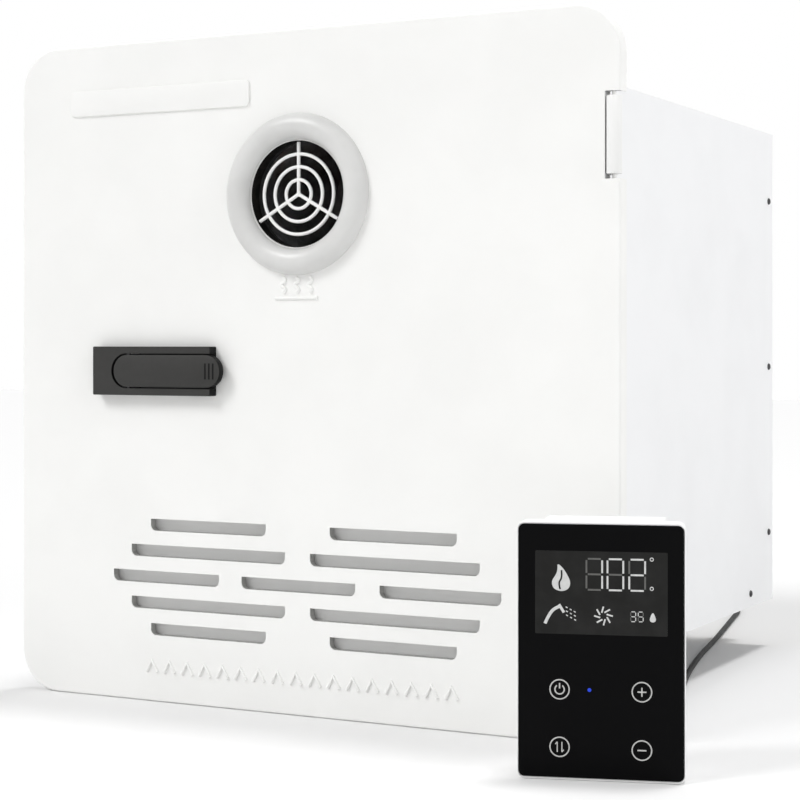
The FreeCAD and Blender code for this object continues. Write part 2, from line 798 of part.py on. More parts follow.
def make_latch():
    """The paddle latch on the door: base, pin, lever, back plate, tongue and spring."""
    middle = ("-latch_height / 2", "latch_height / 2")
    base = slab("latch_block", ("latch_left", "latch_right"), ("latch_face", "door_front"), middle)
    channel = slab("latch_channel", ("window_left", "latch_right + 1"),
                   ("latch_face - 1", "door_front - latch_floor"), ("-channel_half", "channel_half"))
    window = slab("latch_window", ("window_left", "window_right"), ("latch_face - 1", "door_front + 1"),
                  ("-channel_half", "channel_half"))
    pin = rod("latch_pin", "Z", ("-latch_height / 2 + 1", "latch_height / 2 - 1"),
              ("latch_pin_x", "latch_pin_y"), "latch_pin_radius")
    node(cut("latch_base", base, channel, window, pin))
    node(pin)

    ends = [
        rod(f"lever_end_{side}", "Y", ("lever_face", "lever_back"), (at, "0"), "lever_half")
        for side, at in (("left", "lever_left + lever_half"), ("right", "lever_right - lever_half"))
    ]
    grip = slab("lever_grip", ("lever_left + lever_half", "lever_right - lever_half"),
                ("lever_face", "lever_back"), ("-lever_half", "lever_half"))
    tail = slab("lever_tail", ("latch_pin_x - tail_nose", "latch_pin_x + tail_nose"),
                ("lever_face + 1", "nose_y"), ("-tail_half_width", "tail_half_width"))
    nose = rod("lever_nose", "Z", ("-tail_half_width", "tail_half_width"), ("latch_pin_x", "nose_y"),
               "tail_nose")
    bore = rod("lever_bore", "Z", ("-latch_height", "latch_height"), ("latch_pin_x", "latch_pin_y"),
               "latch_pin_radius + running_gap")
    node(cut("latch_lever", fuse("lever_solid", grip, *ends, tail, nose), bore))

    plate_left = "tongue_left + tongue_tip_length + tongue_stroke + 1"
    plate_right = f"{plate_left} + latch_plate_length"
    rail_out = "tongue_half + tongue_gap + guide_wall"
    plate = slab("latch_plate_floor", (plate_left, plate_right), ("door_inside", "latch_plate_back"),
                 (f"-({rail_out})", rail_out))
    rails = slab("latch_rails", (plate_left, plate_right), ("latch_plate_back", "tongue_back + tongue_gap"),
                 (f"-({rail_out})", rail_out))
    room = slab("latch_rail_room", (f"{plate_left} - 1", "tongue_right + spring_room"),
                ("latch_plate_back", "tongue_back + 3"),
                ("-tongue_half - tongue_gap", "tongue_half + tongue_gap"))
    strap = slab("latch_strap", (plate_left, f"{plate_left} + strap_length"),
                 ("tongue_back + tongue_gap", "tongue_back + tongue_gap + strap_thick"),
                 (f"-({rail_out})", rail_out))
    opening = slab("latch_plate_window", ("window_left", "window_right"),
                   ("door_inside - 1", "latch_plate_back + 0.001"), ("-tongue_half", "tongue_half"))
    channelled = cut("latch_plate_channelled", fuse("latch_plate_solid", plate, rails), room)
    node(cut("latch_back_plate", fuse("latch_plate_strapped", channelled, strap), opening))

    wide = ("-tongue_half", "tongue_half")
    bar = slab("tongue_bar", ("tongue_left + tongue_step", "tongue_right"),
               ("tongue_front", "tongue_back"), wide)
    riser = slab("tongue_riser", ("tongue_left + tongue_step", "tongue_left + tongue_tip_length"),
                 ("tongue_front", "tip_back"), wide)
    tip = slab("tongue_tip", ("tongue_left", "tongue_left + tongue_tip_length"), ("tip_front", "tip_back"),
               wide)
    slot = slab("tongue_slot", ("latch_pin_x - tail_nose - tail_play", "latch_pin_x + tail_nose + tail_play"),
                ("tongue_front - 1", "tongue_back + 1"),
                ("-tail_half_width - tail_play", "tail_half_width + tail_play"))
    node(cut("latch_tongue", fuse("tongue_solid", bar, riser, tip), slot))

    coil = doc.addObject("Part::Helix", "spring_line")
    coil.Placement = Placement(Vector(), AXIS_TURN["X"])
    length = "(spring_room - 2 * spring_wire - 0.2)"
    bind(coil, Radius="spring_radius - spring_wire", Pitch=f"{length} / spring_turns", Height=length)
    move(coil, "tongue_right + spring_wire + 0.1", "tongue_front + tongue_thick / 2", "0")
    doc.recompute()
    node(feature("latch_spring", round_sweep(Part.Wire(coil.Shape.Edges), sizes.spring_wire)))


def make_strike():
    """A spring-steel clip on the case wall whose lip holds the tongue."""
    wall = slab("strike_wall", ("-case_inside", "-case_inside + strike_sheet"), ("0", "strike_length"),
                ("-strike_half", "strike_half"))
    lip = slab("strike_lip_bar", ("-case_inside", "-case_inside + strike_sheet + strike_lip"),
               ("strike_back - strike_sheet", "strike_back"), ("-tongue_half - 1", "tongue_half + 1"))
    node(fuse("strike_clip", wall, lip))


def make_flange():
    """The frame that screws to the outside wall, and the foam seal on its front."""
    half = "flange_side / 2"
    hole_at = "flange_side / 2 - flange_hole_inset"
    body = new_body("mounting_flange")
    frame = sketch_in(body, "flange_outline")
    rectangle(frame, f"-{half}", half, f"-{half}", half)
    pad(body, frame, "flange_sheet")
    round_edges(body, "flange_corners", upright, "flange_corner")
    openings = sketch_in(body, "flange_openings")
    rectangle(openings, "-case_inside", "case_inside", "-case_inside", "case_inside")
    for across in (f"-({hole_at})", "0", hole_at):
        for up in (f"-({hole_at})", "0", hole_at):
            if (across, up) != ("0", "0"):
                circle(openings, across, up, "flange_hole")
    pocket(body, openings, "flange_sheet + 1")
    node(body)

    outer = "seal_side / 2"
    inner = "seal_side / 2 - seal_width"
    strip = slab("seal_block", (f"-{outer}", outer), ("door_inside + seal_gap", "-flange_sheet"),
                 (f"-{outer}", outer))
    room = slab("seal_room", (f"-({inner})", inner), ("door_front", "0"), (f"-({inner})", inner))
    node(cut("door_seal", strip, room))


def make_case_screws():
    """Pan-head screws along the case's rear and lower edges, alike on both sides."""
    spots = [("case_depth - back_screw_inset", up) for up in ("-back_screw_rise", "0", "back_screw_rise")]
    spots += [
        (depth, "-case_half + base_screw_rise")
        for depth in ("base_screw_front", "base_screw_middle", "base_screw_rear")
    ]
    screws = []
    for number, (depth, up) in enumerate(spots, start=1):
        head = rod(f"screw_head_{number}", "X", ("case_half", "case_half + screw_head_thick"), (depth, up),
                   "screw_head")
        shank = rod(f"screw_shank_{number}", "X",
                    ("case_half + screw_head_thick - screw_length", "case_half + 0.5"), (depth, up),
                    "screw_shank")
        screw = fuse(f"screw_{number}", head, shank)
        screws += [screw, mirror(f"screw_mirror_{number}", screw, Vector(1, 0, 0))]
    return node(group("case_screws", *screws))


def make_case(screws):
    """Wrapper, base pan, back panel and the inner front panel."""
    ends = ("0", "case_depth")
    block = slab("wrapper_block", ("-case_half", "case_half"), ends, ("-case_half", "case_half"))
    room = slab("wrapper_room", ("-case_inside", "case_inside"), ("-1", "case_depth + 1"),
                ("-case_half - 1", "case_inside"))
    node(cut("case_wrapper", cut("wrapper_shell", block, room), screws))

    lip = "case_inside - case_sheet"
    low = "-case_inside"
    sheet = slab("base_sheet", ("-case_inside", "case_inside"), ends, ("-case_half", low))
    flanks = [
        slab(f"base_flank_{name}", across, ("0", "case_depth - case_sheet"), (low, f"{low} + case_lip"))
        for name, across in (("left", ("-case_inside", f"-({lip})")), ("right", (lip, "case_inside")))
    ]
    node(cut("base_pan", fuse("base_solid", sheet, *flanks), screws))

    wall = slab("back_sheet", ("-case_inside", "case_inside"), ("case_depth - case_sheet", "case_depth"),
                (low, "case_inside"))
    sides = [
        slab(f"back_flank_{name}", across, ("case_depth - case_lip", "case_depth"),
             (f"{low} + case_lip + 1", "case_inside"))
        for name, across in (("left", ("-case_inside", f"-({lip})")), ("right", (lip, "case_inside")))
    ]
    through = ("case_depth - case_sheet - 1", "case_depth + 1")
    holes = [
        rod("back_gas_hole", "Y", through, ("gas_x", "gas_z"), "gas_thread_radius + 0.3"),
        rod("back_cold_hole", "Y", through, ("cold_x", "cold_z"), "water_thread_radius + 0.3"),
        rod("back_hot_hole", "Y", through, ("hot_x", "hot_z"), "water_thread_radius + 0.3"),
        rod("back_gland_hole", "Y", through, ("gland_x", "gland_z"), "gland_radius - 2"),
    ]
    node(cut("back_panel", fuse("back_solid", wall, *sides), screws, *holes))

    panel = slab("inner_sheet", ("-case_inside", "case_inside"), ("panel_face", "panel_face + case_sheet"),
                 (low + " + case_sheet", "case_inside"))
    through = ("panel_face - 1", "panel_face + case_sheet + 1")
    corner_cut = f"({low}) + case_lip + 1"
    clears = [
        rod("inner_duct_hole", "Y", through, ("0", "exhaust_above"), "duct_radius + 0.3"),
        rod("inner_sight_hole", "Y", through, ("sight_glass_x", "sight_glass_z"), "sight_glass_radius - 1"),
        rod("inner_relief_hole", "Y", through, ("relief_x", "relief_z"), "relief_radius + 1"),
        rod("inner_drain_hole", "Y", through, ("cold_x", "cold_z"), "tube_radius + 0.4"),
        slab("inner_switch_hole", ("switch_x - switch_width / 2 + 1", "switch_x + switch_width / 2 - 1"),
             through, ("switch_z - switch_height / 2 + 1", "switch_z + switch_height / 2 - 1")),
    ]
    for name, across in (("left", ("-case_inside - 1", f"-({lip}) + 0.2")),
                         ("right", (f"{lip} - 0.2", "case_inside + 1"))):
        clears.append(slab(f"inner_corner_{name}", across, through, (f"{low} - 1", corner_cut)))
    for row in range(4):
        high = f"intake_top - {row} * intake_pitch"
        clears.append(slab(f"intake_{row}", ("-intake_half", "intake_half"), through,
                           (f"{high} - intake_height", high)))
    node(cut("inner_front_panel", panel, *clears))
    node(rod("sight_glass", "Y", ("panel_face - sight_glass_thick", "panel_face"),
             ("sight_glass_x", "sight_glass_z"), "sight_glass_radius"))


def make_exhaust_path():
    """Gasket, duct and hood between the heat exchanger and the door's sleeve."""
    centre = ("0", "exhaust_above")
    gasket_front = "door_back + 0.5"
    gasket_back = f"{gasket_front} + gasket_thick"
    foam = rod("gasket_block", "Y", (gasket_front, gasket_back), centre, "duct_radius + 2")
    foam_bore = rod("gasket_bore", "Y", (f"{gasket_front} - 1", f"{gasket_back} + 1"), centre,
                    "throat_radius + 1")
    node(cut("flue_gasket", foam, foam_bore))
    pipe = rod("duct_outside", "Y", (gasket_back, "chamber_front"), centre, "duct_radius")
    bore = rod("duct_inside", "Y", (f"{gasket_back} - 1", "chamber_front + 1"), centre,
               "duct_radius - duct_wall")
    node(cut("flue_duct", pipe, bore))
    across = ("-chamber_half", "chamber_half")
    hood = slab("hood_block", across, ("chamber_front", "chamber_back"),
                ("chamber_top", "chamber_top + hood_height"))
    room = slab("hood_room", ("-chamber_half + chamber_wall", "chamber_half - chamber_wall"),
                ("chamber_front + chamber_wall", "chamber_back - chamber_wall"),
                ("chamber_top - 1", "chamber_top + hood_height - chamber_wall"))
    mouth = rod("hood_mouth", "Y", ("chamber_front - 1", "chamber_front + chamber_wall + 1"), centre,
                "duct_radius - duct_wall")
    node(cut("exhaust_hood", hood, room, mouth))


def pass_depths():
    """The depth of each of the tube's four passes through the fins."""
    return [places.pass_rear - step * sizes.pass_pitch for step in range(4)]


def make_heat_exchanger():
    """Copper chamber, the fins in its top, and the tube that winds through them."""
    across = ("-chamber_half", "chamber_half")
    shell = slab("chamber_block", across, ("chamber_front", "chamber_back"),
                 ("chamber_bottom", "chamber_top"))
    room = slab("chamber_room", ("-chamber_half + chamber_wall", "chamber_half - chamber_wall"),
                ("chamber_front + chamber_wall", "chamber_back - chamber_wall"),
                ("chamber_bottom - 1", "chamber_top + 1"))
    holes = [
        rod(f"chamber_pass_{step}", "X", ("-chamber_half - 1", "chamber_half + 1"),
            (f"pass_rear - {step} * pass_pitch", "pass_z"), "tube_radius + 0.1")
        for step in range(4)
    ]
    ports = [
        rod(f"chamber_port_{step}", "Y", ("chamber_front - 1", "chamber_front + chamber_wall + 1"),
            (f"{step} * electrode_pitch", "chamber_bottom + electrode_above"), "electrode_ceramic")
        for step in (-1, 0, 1)
    ]
    node(cut("combustion_chamber", shell, room, *holes, *ports))

    inside = places.chamber_back - places.chamber_front - 2 * sizes.chamber_wall - 2 * sizes.fin_gap
    first = -sizes.chamber_half + sizes.chamber_wall + 3
    step = (2 * (sizes.chamber_half - sizes.chamber_wall - 3) - sizes.fin_thick) / (sizes.fin_count - 1)
    fins = []
    for number in range(int(sizes.fin_count)):
        left = first + number * step
        corner = Vector(left, places.chamber_front + sizes.chamber_wall + sizes.fin_gap,
                        places.pass_z - sizes.fin_height / 2)
        fin = Part.makeBox(sizes.fin_thick, inside, sizes.fin_height, corner)
        for depth in pass_depths():
            start = Vector(left - 1, depth, places.pass_z)
            fin = fin.cut(Part.makeCylinder(sizes.tube_radius, sizes.fin_thick + 2, start, Vector(1, 0, 0)))
        fins.append(fin)
    node(feature("exchanger_fins", Part.makeCompound(fins)))

    rear, second, third, front = pass_depths()
    level = places.pass_z
    loop = sizes.chamber_half + sizes.loop_out + sizes.pass_pitch / 2
    half = sizes.pass_pitch / 2
    bend = sizes.tube_bend
    points = [
        Vector(places.cold_x, places.sensor_front, places.cold_z),
        Vector(places.cold_x, rear, places.cold_z),
        Vector(places.cold_x, rear, level),
        Vector(-loop, rear, level), Vector(-loop, second, level),
        Vector(loop, second, level), Vector(loop, third, level),
        Vector(-loop, third, level), Vector(-loop, front, level),
        Vector(places.hot_x, front, level),
        Vector(places.hot_x, front, places.hot_z),
        Vector(places.hot_x, places.fitting_front, places.hot_z),
    ]
    radii = [bend, bend, half - 0.5, half - 0.5, half - 0.5, half - 0.5, half - 0.5, half - 0.5, bend, bend]
    path = bent_path(points, radii)
    outside = round_sweep(path, sizes.tube_radius)
    node(feature("exchanger_tube", outside.cut(round_sweep(path, sizes.tube_radius - sizes.tube_wall))))


def make_burner():
    """Burner tray, its bars, the gas manifold with one jet for each bar, and the electrodes."""
    outer = "chamber_half - tray_inset"
    front = "chamber_front + tray_inset"
    back = "chamber_back - tray_inset"
    tray = slab("tray_block", (f"-({outer})", outer), (front, back), ("tray_bottom", "chamber_bottom"))
    room = slab("tray_room", (f"-({outer}) + chamber_wall", f"{outer} - chamber_wall"),
                (f"{front} + chamber_wall", f"{back} - chamber_wall"),
                ("tray_bottom + chamber_wall", "chamber_bottom + 1"))
    throat = slab("tray_throat", ("fan_outlet_left + fan_wall", "fan_outlet_right - fan_wall"),
                  ("fan_front + fan_wall", "fan_back - fan_wall"),
                  ("tray_bottom - 1", "tray_bottom + chamber_wall + 1"))
    pitch = f"(2 * ({outer} - chamber_wall) / bar_count)"
    jets = []
    bars = []
    for number in range(int(sizes.bar_count)):
        middle = f"-({outer}) + chamber_wall + {pitch} * ({number} + 0.5)"
        bar = slab(f"bar_block_{number}", (f"{middle} - bar_thick / 2", f"{middle} + bar_thick / 2"),
                   (f"{front} + bar_end_gap", f"{back} - bar_end_gap"),
                   ("chamber_bottom - bar_height - 2", "chamber_bottom - 2"))
        port = slab(f"bar_port_{number}", (f"{middle} - bar_thick / 6", f"{middle} + bar_thick / 6"),
                    (f"{front} + 2 * bar_end_gap", f"{back} - 2 * bar_end_gap"),
                    ("chamber_bottom - bar_height / 2", "chamber_bottom"))
        bars.append(cut(f"bar_{number}", bar, port))
        jets.append(rod(f"jet_{number}", "Y", ("manifold_front + manifold_thick - 1", f"{front} + 2"),
                        (middle, "gas_z"), "jet_radius"))
    node(cut("burner_tray", tray, room, throat, *jets))
    node(group("burner_bars", *bars))

    rail = slab("manifold_rail", ("gas_x - manifold_thick / 2", f"{outer} - 2"),
                ("manifold_front", "manifold_front + manifold_thick"),
                ("gas_z - manifold_thick / 2", "gas_z + manifold_thick / 2"))
    feed = rod("manifold_feed", "Y", ("manifold_front + manifold_thick - 1", "valve_front"),
               ("gas_x", "gas_z"), "gas_pipe_radius")
    node(fuse("gas_manifold", rail, feed, *jets))

    rods = []
    for step in (-1, 0, 1):
        centre = (f"{step} * electrode_pitch", "chamber_bottom + electrode_above")
        ceramic = rod(f"ceramic_{step + 1}", "Y", ("chamber_front - 16", "chamber_front + chamber_wall + 2"),
                      centre, "electrode_ceramic")
        wire = rod(f"wire_{step + 1}", "Y", ("chamber_front - 20", "chamber_front + 30"), centre,
                   "electrode_radius")
        rods.append(fuse(f"electrode_{step + 1}", ceramic, wire))
    node(group("ignition_electrodes", *rods))


def make_fan():
    """Scroll housing whose outlet blows up into the tray, impeller on its shaft, and motor."""
    run = ("fan_front", "fan_back")
    centre = ("fan_x", "fan_z")
    inner_run = ("fan_front + fan_wall", "fan_back - fan_wall")
    drum = rod("scroll_outside", "Y", run, centre, "fan_radius")
    neck = slab("neck_outside", ("fan_outlet_left", "fan_outlet_right"), run, ("fan_z", "tray_bottom"))
    drum_room = rod("scroll_inside", "Y", inner_run, centre, "fan_radius - fan_wall")
    neck_room = slab("neck_inside", ("fan_outlet_left + fan_wall", "fan_outlet_right - fan_wall"), inner_run,
                     ("fan_z", "tray_bottom + 1"))
    intake = rod("scroll_intake", "Y", ("fan_front - 1", "fan_front + fan_wall + 1"), centre, "fan_intake")
    shaft_hole = rod("scroll_shaft_hole", "Y", ("fan_back - fan_wall - 1", "fan_back + 1"), centre,
                     "shaft_radius + 1")
    room = fuse("scroll_room", drum_room, neck_room)
    node(cut("fan_housing", fuse("scroll_solid", drum, neck), room, intake, shaft_hole))

    motor = rod("motor_can", "Y", ("fan_back", "fan_back + motor_length"), centre, "motor_radius")
    motor_bore = rod("motor_bore", "Y", ("fan_back - 1", "fan_back + motor_length - 3"), centre,
                     "shaft_radius + running_gap")
    node(cut("fan_motor", motor, motor_bore))

    rear = places.fan_back - sizes.fan_wall - sizes.impeller_end_gap
    disc = Part.makeCylinder(sizes.impeller_radius, sizes.impeller_sheet, Vector(0, rear, 0),
                             Vector(0, -1, 0))
    front = rear - sizes.impeller_width
    hoop = Part.makeCylinder(sizes.impeller_radius, sizes.impeller_sheet, Vector(0, front, 0),
                             Vector(0, 1, 0))
    hole = Part.makeCylinder(sizes.impeller_radius - sizes.blade_depth, sizes.impeller_sheet + 2,
                             Vector(0, front - 1, 0), Vector(0, 1, 0))
    shaft = Part.makeCylinder(sizes.shaft_radius, places.fan_back + sizes.motor_length - 4 - rear + 8,
                              Vector(0, rear - 8, 0), Vector(0, 1, 0))
    pieces = [hoop.cut(hole), shaft]
    blade = Part.makeBox(sizes.blade_depth - 0.5, sizes.impeller_width - 0.4, sizes.impeller_sheet,
                         Vector(sizes.impeller_radius - sizes.blade_depth, front + 0.2, 0))
    for number in range(int(sizes.impeller_blades)):
        turned = blade.copy()
        turned.rotate(Vector(0, 0, 0), Vector(0, 1, 0), 360 * number / sizes.impeller_blades)
        pieces.append(turned)
    impeller = node(feature("fan_impeller", disc.multiFuse(pieces).removeSplitter()))
    move(impeller, "fan_x", "0", "fan_z")


def make_gas_train():
    """Inlet with its pipe, valve body, two solenoid coils and the plunger inside."""
    centre = ("gas_x", "gas_z")
    thread = rod("gas_thread", "Y", ("thread_start", "case_depth + gas_thread_length"), centre,
                 "gas_thread_radius")
    stub = rod("gas_stub", "Y", ("case_depth - case_sheet", "thread_start"), centre,
               "gas_thread_radius - thread_relief_deep")
    nut = hexagon("gas_nut", "Y", ("case_depth - case_sheet - hex_thick", "case_depth - case_sheet"), centre,
                  "gas_hex")
    pipe = rod("gas_pipe", "Y", ("valve_back", "case_depth - 1"), centre, "gas_pipe_radius")
    bore = rod("gas_bore", "Y", ("valve_back - 1", "case_depth + gas_thread_length + 1"), centre,
               "gas_pipe_radius - 1")
    node(cut("gas_inlet", fuse("gas_inlet_solid", thread, stub, nut, pipe), bore))

    body = slab("valve_block", ("gas_x - valve_half", "gas_x + valve_half"), ("valve_front", "valve_back"),
                ("valve_low", "valve_top"))
    room = rod("valve_plunger_bore", "Z", ("gas_z - plunger_length", "gas_z + plunger_travel + 1"),
               ("gas_x", "plunger_y"), "plunger_radius + running_gap")
    node(cut("gas_valve_body", body, room))
    node(rod("gas_plunger", "Z", ("gas_z - plunger_length + 0.1", "gas_z + 0.1"), ("gas_x", "plunger_y"),
             "plunger_radius"))
    coils = []
    for name, depth in (("front", "valve_front + coil_inset"), ("rear", "valve_back - coil_inset")):
        can = rod(f"solenoid_{name}", "Z", ("valve_top", "valve_top + coil_height"), ("gas_x", depth),
                  "coil_radius")
        cap = hexagon(f"solenoid_nut_{name}", "Z", ("valve_top + coil_height", "valve_top + coil_height + 4"),
                      ("gas_x", depth), "coil_radius / 2")
        coils.append(fuse(f"solenoid_solid_{name}", can, cap))
    node(group("gas_solenoids", *coils))


def water_fitting(name, centre, inner_end):
    """A male threaded fitting through the back panel, with a hexagon inside the case."""
    thread = rod(name + "_thread", "Y", ("thread_start", "case_depth + water_thread_length"), centre,
                 "water_thread_radius")
    stub = rod(name + "_stub", "Y", ("case_depth - case_sheet", "thread_start"), centre,
               "water_thread_radius - thread_relief_deep")
    nut = hexagon(name + "_nut", "Y", (inner_end, "case_depth - case_sheet"), centre, "water_hex")
    bore = rod(name + "_bore", "Y", (f"{inner_end} - 1", "case_depth + water_thread_length + 1"), centre,
               "tube_radius - tube_wall")
    node(cut(name, fuse(name + "_solid", thread, stub, nut), bore))


def make_water_train():
    """Cold inlet, flow sensor with its turbine, hot outlet, relief valve and drain plug."""
    cold = ("cold_x", "cold_z")
    water_fitting("cold_inlet", cold, "sensor_back")
    water_fitting("hot_outlet", ("hot_x", "hot_z"), "fitting_front")

    block = slab("sensor_block", ("cold_x - sensor_half", "cold_x + sensor_half"),
                 ("sensor_front", "sensor_back"), ("cold_z - sensor_half", "cold_z + sensor_half"))
    duct = rod("sensor_duct", "Y", ("sensor_front - 1", "sensor_back + 1"), cold, "tube_radius - tube_wall")
    middle = "(sensor_front + sensor_back) / 2"
    room = rod("sensor_room", "Y", (f"{middle} - turbine_length / 2 - turbine_gap",
                                    f"{middle} + turbine_length / 2 + turbine_gap"),
               cold, "turbine_radius + turbine_gap")
    bridge = [
        slab(f"sensor_bridge_{name}", ("cold_x - tube_radius", "cold_x + tube_radius"), ends,
             ("cold_z - 2", "cold_z + 2"))
        for name, ends in (
            ("front", (f"{middle} - turbine_length / 2 - turbine_gap - 3",
                       f"{middle} - turbine_length / 2 - turbine_gap")),
            ("rear", (f"{middle} + turbine_length / 2 + turbine_gap",
                      f"{middle} + turbine_length / 2 + turbine_gap + 3")),
        )
    ]
    spindle_hole = rod("sensor_spindle_hole", "Y", (f"{middle} - turbine_length / 2 - turbine_gap - 2.5",
                                                    f"{middle} + turbine_length / 2 + turbine_gap + 2.5"),
                       cold, "turbine_spindle + running_gap")
    hollowed = cut("sensor_hollowed", block, duct, room)
    node(cut("flow_sensor_body", fuse("sensor_bridged", hollowed, *bridge), spindle_hole))

    spin = Part.makeCylinder(sizes.turbine_spindle, sizes.turbine_length + 2 * sizes.turbine_gap + 4,
                             Vector(0, -sizes.turbine_length / 2 - sizes.turbine_gap - 2, 0), Vector(0, 1, 0))
    hub = Part.makeCylinder(3, sizes.turbine_length, Vector(0, -sizes.turbine_length / 2, 0), Vector(0, 1, 0))
    pieces = [hub]
    for number in range(int(sizes.turbine_blades)):
        blade = Part.makeBox(sizes.turbine_radius, sizes.turbine_length - 1, 1.4,
                             Vector(0, -sizes.turbine_length / 2 + 0.5, -0.7))
        blade.rotate(Vector(0, 0, 0), Vector(0, 1, 0), 360 * number / sizes.turbine_blades)
        pieces.append(blade.common(Part.makeCylinder(sizes.turbine_radius, 40, Vector(0, -20, 0),
                                                     Vector(0, 1, 0))))
    turbine = node(feature("flow_turbine", spin.multiFuse(pieces).removeSplitter()))
    move(turbine, "cold_x", middle, "cold_z")

    body = rod("relief_barrel", "Y", ("relief_front", "relief_back"), ("relief_x", "relief_z"),
               "relief_radius")
    neck = rod("relief_neck", "Y", ("relief_back - 1", "pass_front - tube_radius"), ("relief_x", "relief_z"),
               "tube_radius - 1")
    spout = rod("relief_spout", "Z", ("relief_z - spout_drop", "relief_z"),
                ("relief_x", "spout_y"), "spout_radius")
    spout_bore = rod("relief_spout_bore", "Z", ("relief_z - spout_drop - 1", "relief_z"),
                     ("relief_x", "spout_y"), "spout_radius - 2")
    ears = slab("relief_ears", ("relief_x - ear_reach - ear_wall", "relief_x + ear_reach + ear_wall"),
                ("relief_pin_y - relief_pin_out", "relief_front + 1"),
                ("relief_pin_z - ear_half", "relief_pin_z + ear_half"))
    gap = slab("relief_ear_room", ("relief_x - ear_reach", "relief_x + ear_reach"),
               ("relief_pin_y - relief_pin_out - 1", "relief_front"),
               ("relief_pin_z - ear_half - 1", "relief_pin_z + ear_half + 1"))
    pin_hole = rod("relief_pin_hole", "X", ("relief_x - relief_radius", "relief_x + relief_radius"),
                   ("relief_pin_y", "relief_pin_z"), "relief_pin_radius + running_gap")
    node(cut("relief_valve_body", fuse("relief_solid", body, neck, spout, ears), spout_bore, gap, pin_hole))

    strip = slab("relief_strip", ("relief_x - relief_lever_half", "relief_x + relief_lever_half"),
                 ("relief_pin_y - relief_lever_thick / 2", "relief_pin_y + relief_lever_thick / 2"),
                 ("relief_pin_z - relief_lever_length", "relief_pin_z"))
    knuckle = rod("relief_knuckle", "X", ("relief_x - relief_lever_half", "relief_x + relief_lever_half"),
                  ("relief_pin_y", "relief_pin_z"), "relief_knuckle")
    pivot = rod("relief_pivot", "X", ("relief_x - relief_lever_half - ear_wall",
                                      "relief_x + relief_lever_half + ear_wall"),
                ("relief_pin_y", "relief_pin_z"), "relief_pin_radius")
    node(fuse("relief_lever", strip, knuckle, pivot))

    head = hexagon("drain_head", "Y", ("panel_face - 8", "panel_face"), cold, "drain_hex")
    thread = rod("drain_thread", "Y", ("panel_face", "panel_face + 14"), cold, "tube_radius")
    node(fuse("drain_plug", head, thread))


def make_controls():
    """Control box with its board and cover, power switch with its rocker, and the cable gland."""
    deep = ("control_front", "control_front + control_length")
    tall = ("control_bottom", "control_bottom + control_height")
    block = slab("control_block", ("control_left", "control_right"), deep, tall)
    room = slab("control_room", ("control_left + control_wall", "control_right + 1"),
                ("control_front + control_wall", "control_front + control_length - control_wall"),
                ("control_bottom + control_wall", "control_bottom + control_height - control_wall"))
    node(cut("control_box", block, room))
    node(slab("control_cover", ("control_right", "control_right + control_wall"), deep, tall))
    board_left = "control_left + control_wall + board_margin"
    board = slab("board_sheet", (board_left, f"{board_left} + board_thick"),
                 ("control_front + board_margin", "control_front + control_length - board_margin"),
                 ("control_bottom + board_margin", "control_bottom + control_height - board_margin"))
    stand_offs = slab("board_stand", ("control_left + control_wall", board_left),
                      ("control_front + 3 * board_margin", "control_front + 5 * board_margin"),
                      ("control_bottom + 3 * board_margin", "control_bottom + 5 * board_margin"))
    transformer = slab("board_transformer",
                       (f"{board_left} + board_thick", f"{board_left} + board_thick + transformer_side"),
                       ("control_front + 12 * board_margin", "control_front + 18 * board_margin"),
                       ("control_bottom + 5 * board_margin", "control_bottom + 11 * board_margin"))
    node(fuse("control_board", board, stand_offs, transformer))

    half = "switch_width / 2"
    tall = "switch_height / 2"
    bezel = slab("switch_bezel_block", (f"switch_x - {half}", f"switch_x + {half}"),
                 ("panel_face - switch_bezel", "panel_face"), (f"switch_z - {tall}", f"switch_z + {tall}"))
    body = slab("switch_body_block", (f"switch_x - {half} + 1", f"switch_x + {half} - 1"),
                ("panel_face", "panel_face + switch_deep"),
                (f"switch_z - {tall} + 1", f"switch_z + {tall} - 1"))
    cavity = slab("switch_cavity", ("switch_x - rocker_width / 2 - rocker_gap",
                                    "switch_x + rocker_width / 2 + rocker_gap"),
                  ("panel_face - switch_bezel - 1", "panel_face + switch_deep - 3"),
                  ("switch_z - switch_cavity_half", "switch_z + switch_cavity_half"))
    pin_end = "(rocker_width / 2 + rocker_pin_reach)"
    pivot_hole = rod("switch_pivot_hole", "X", (f"switch_x - {pin_end} - rocker_gap",
                                                f"switch_x + {pin_end} + rocker_gap"),
                     ("rocker_y", "switch_z"), "rocker_pivot + running_gap")
    node(cut("switch_housing", fuse("switch_solid", bezel, body), cavity, pivot_hole))

    lean = new_body("rocker_pad")
    move(lean, "switch_x - rocker_width / 2", "rocker_y", "switch_z")
    side = sketch_in(lean, "rocker_side", role="YZ_Plane")
    proud = "-(rocker_pivot_deep + switch_bezel + rocker_rise)"
    outline(side, [
        (proud, "-rocker_height / 2"), (f"{proud} + rocker_dish", "0"), (proud, "rocker_height / 2"),
        ("0", "rocker_height / 2 - 0.4"), ("5", "3"), ("5", "-3"), ("0", "-rocker_height / 2 + 0.4"),
    ])
    pad(lean, side, "rocker_width")
    pins = rod("rocker_pins", "X", (f"switch_x - {pin_end}", f"switch_x + {pin_end}"),
               ("rocker_y", "switch_z"), "rocker_pivot")
    node(fuse("switch_rocker", lean, pins))

    centre = ("gland_x", "gland_z")
    cap = hexagon("gland_cap", "Y", ("case_depth", "case_depth + gland_length / 2"), centre, "gland_radius")
    cone = rod("gland_dome", "Y", ("case_depth", "case_depth + gland_length"), centre, "gland_radius - 3")
    neck = rod("gland_neck", "Y", ("case_depth - case_sheet", "case_depth"), centre, "gland_radius - 2")
    nut = hexagon("gland_nut", "Y", ("case_depth - case_sheet - 5", "case_depth - case_sheet"), centre,
                  "gland_radius")
    node(fuse("cable_gland", cap, cone, neck, nut))


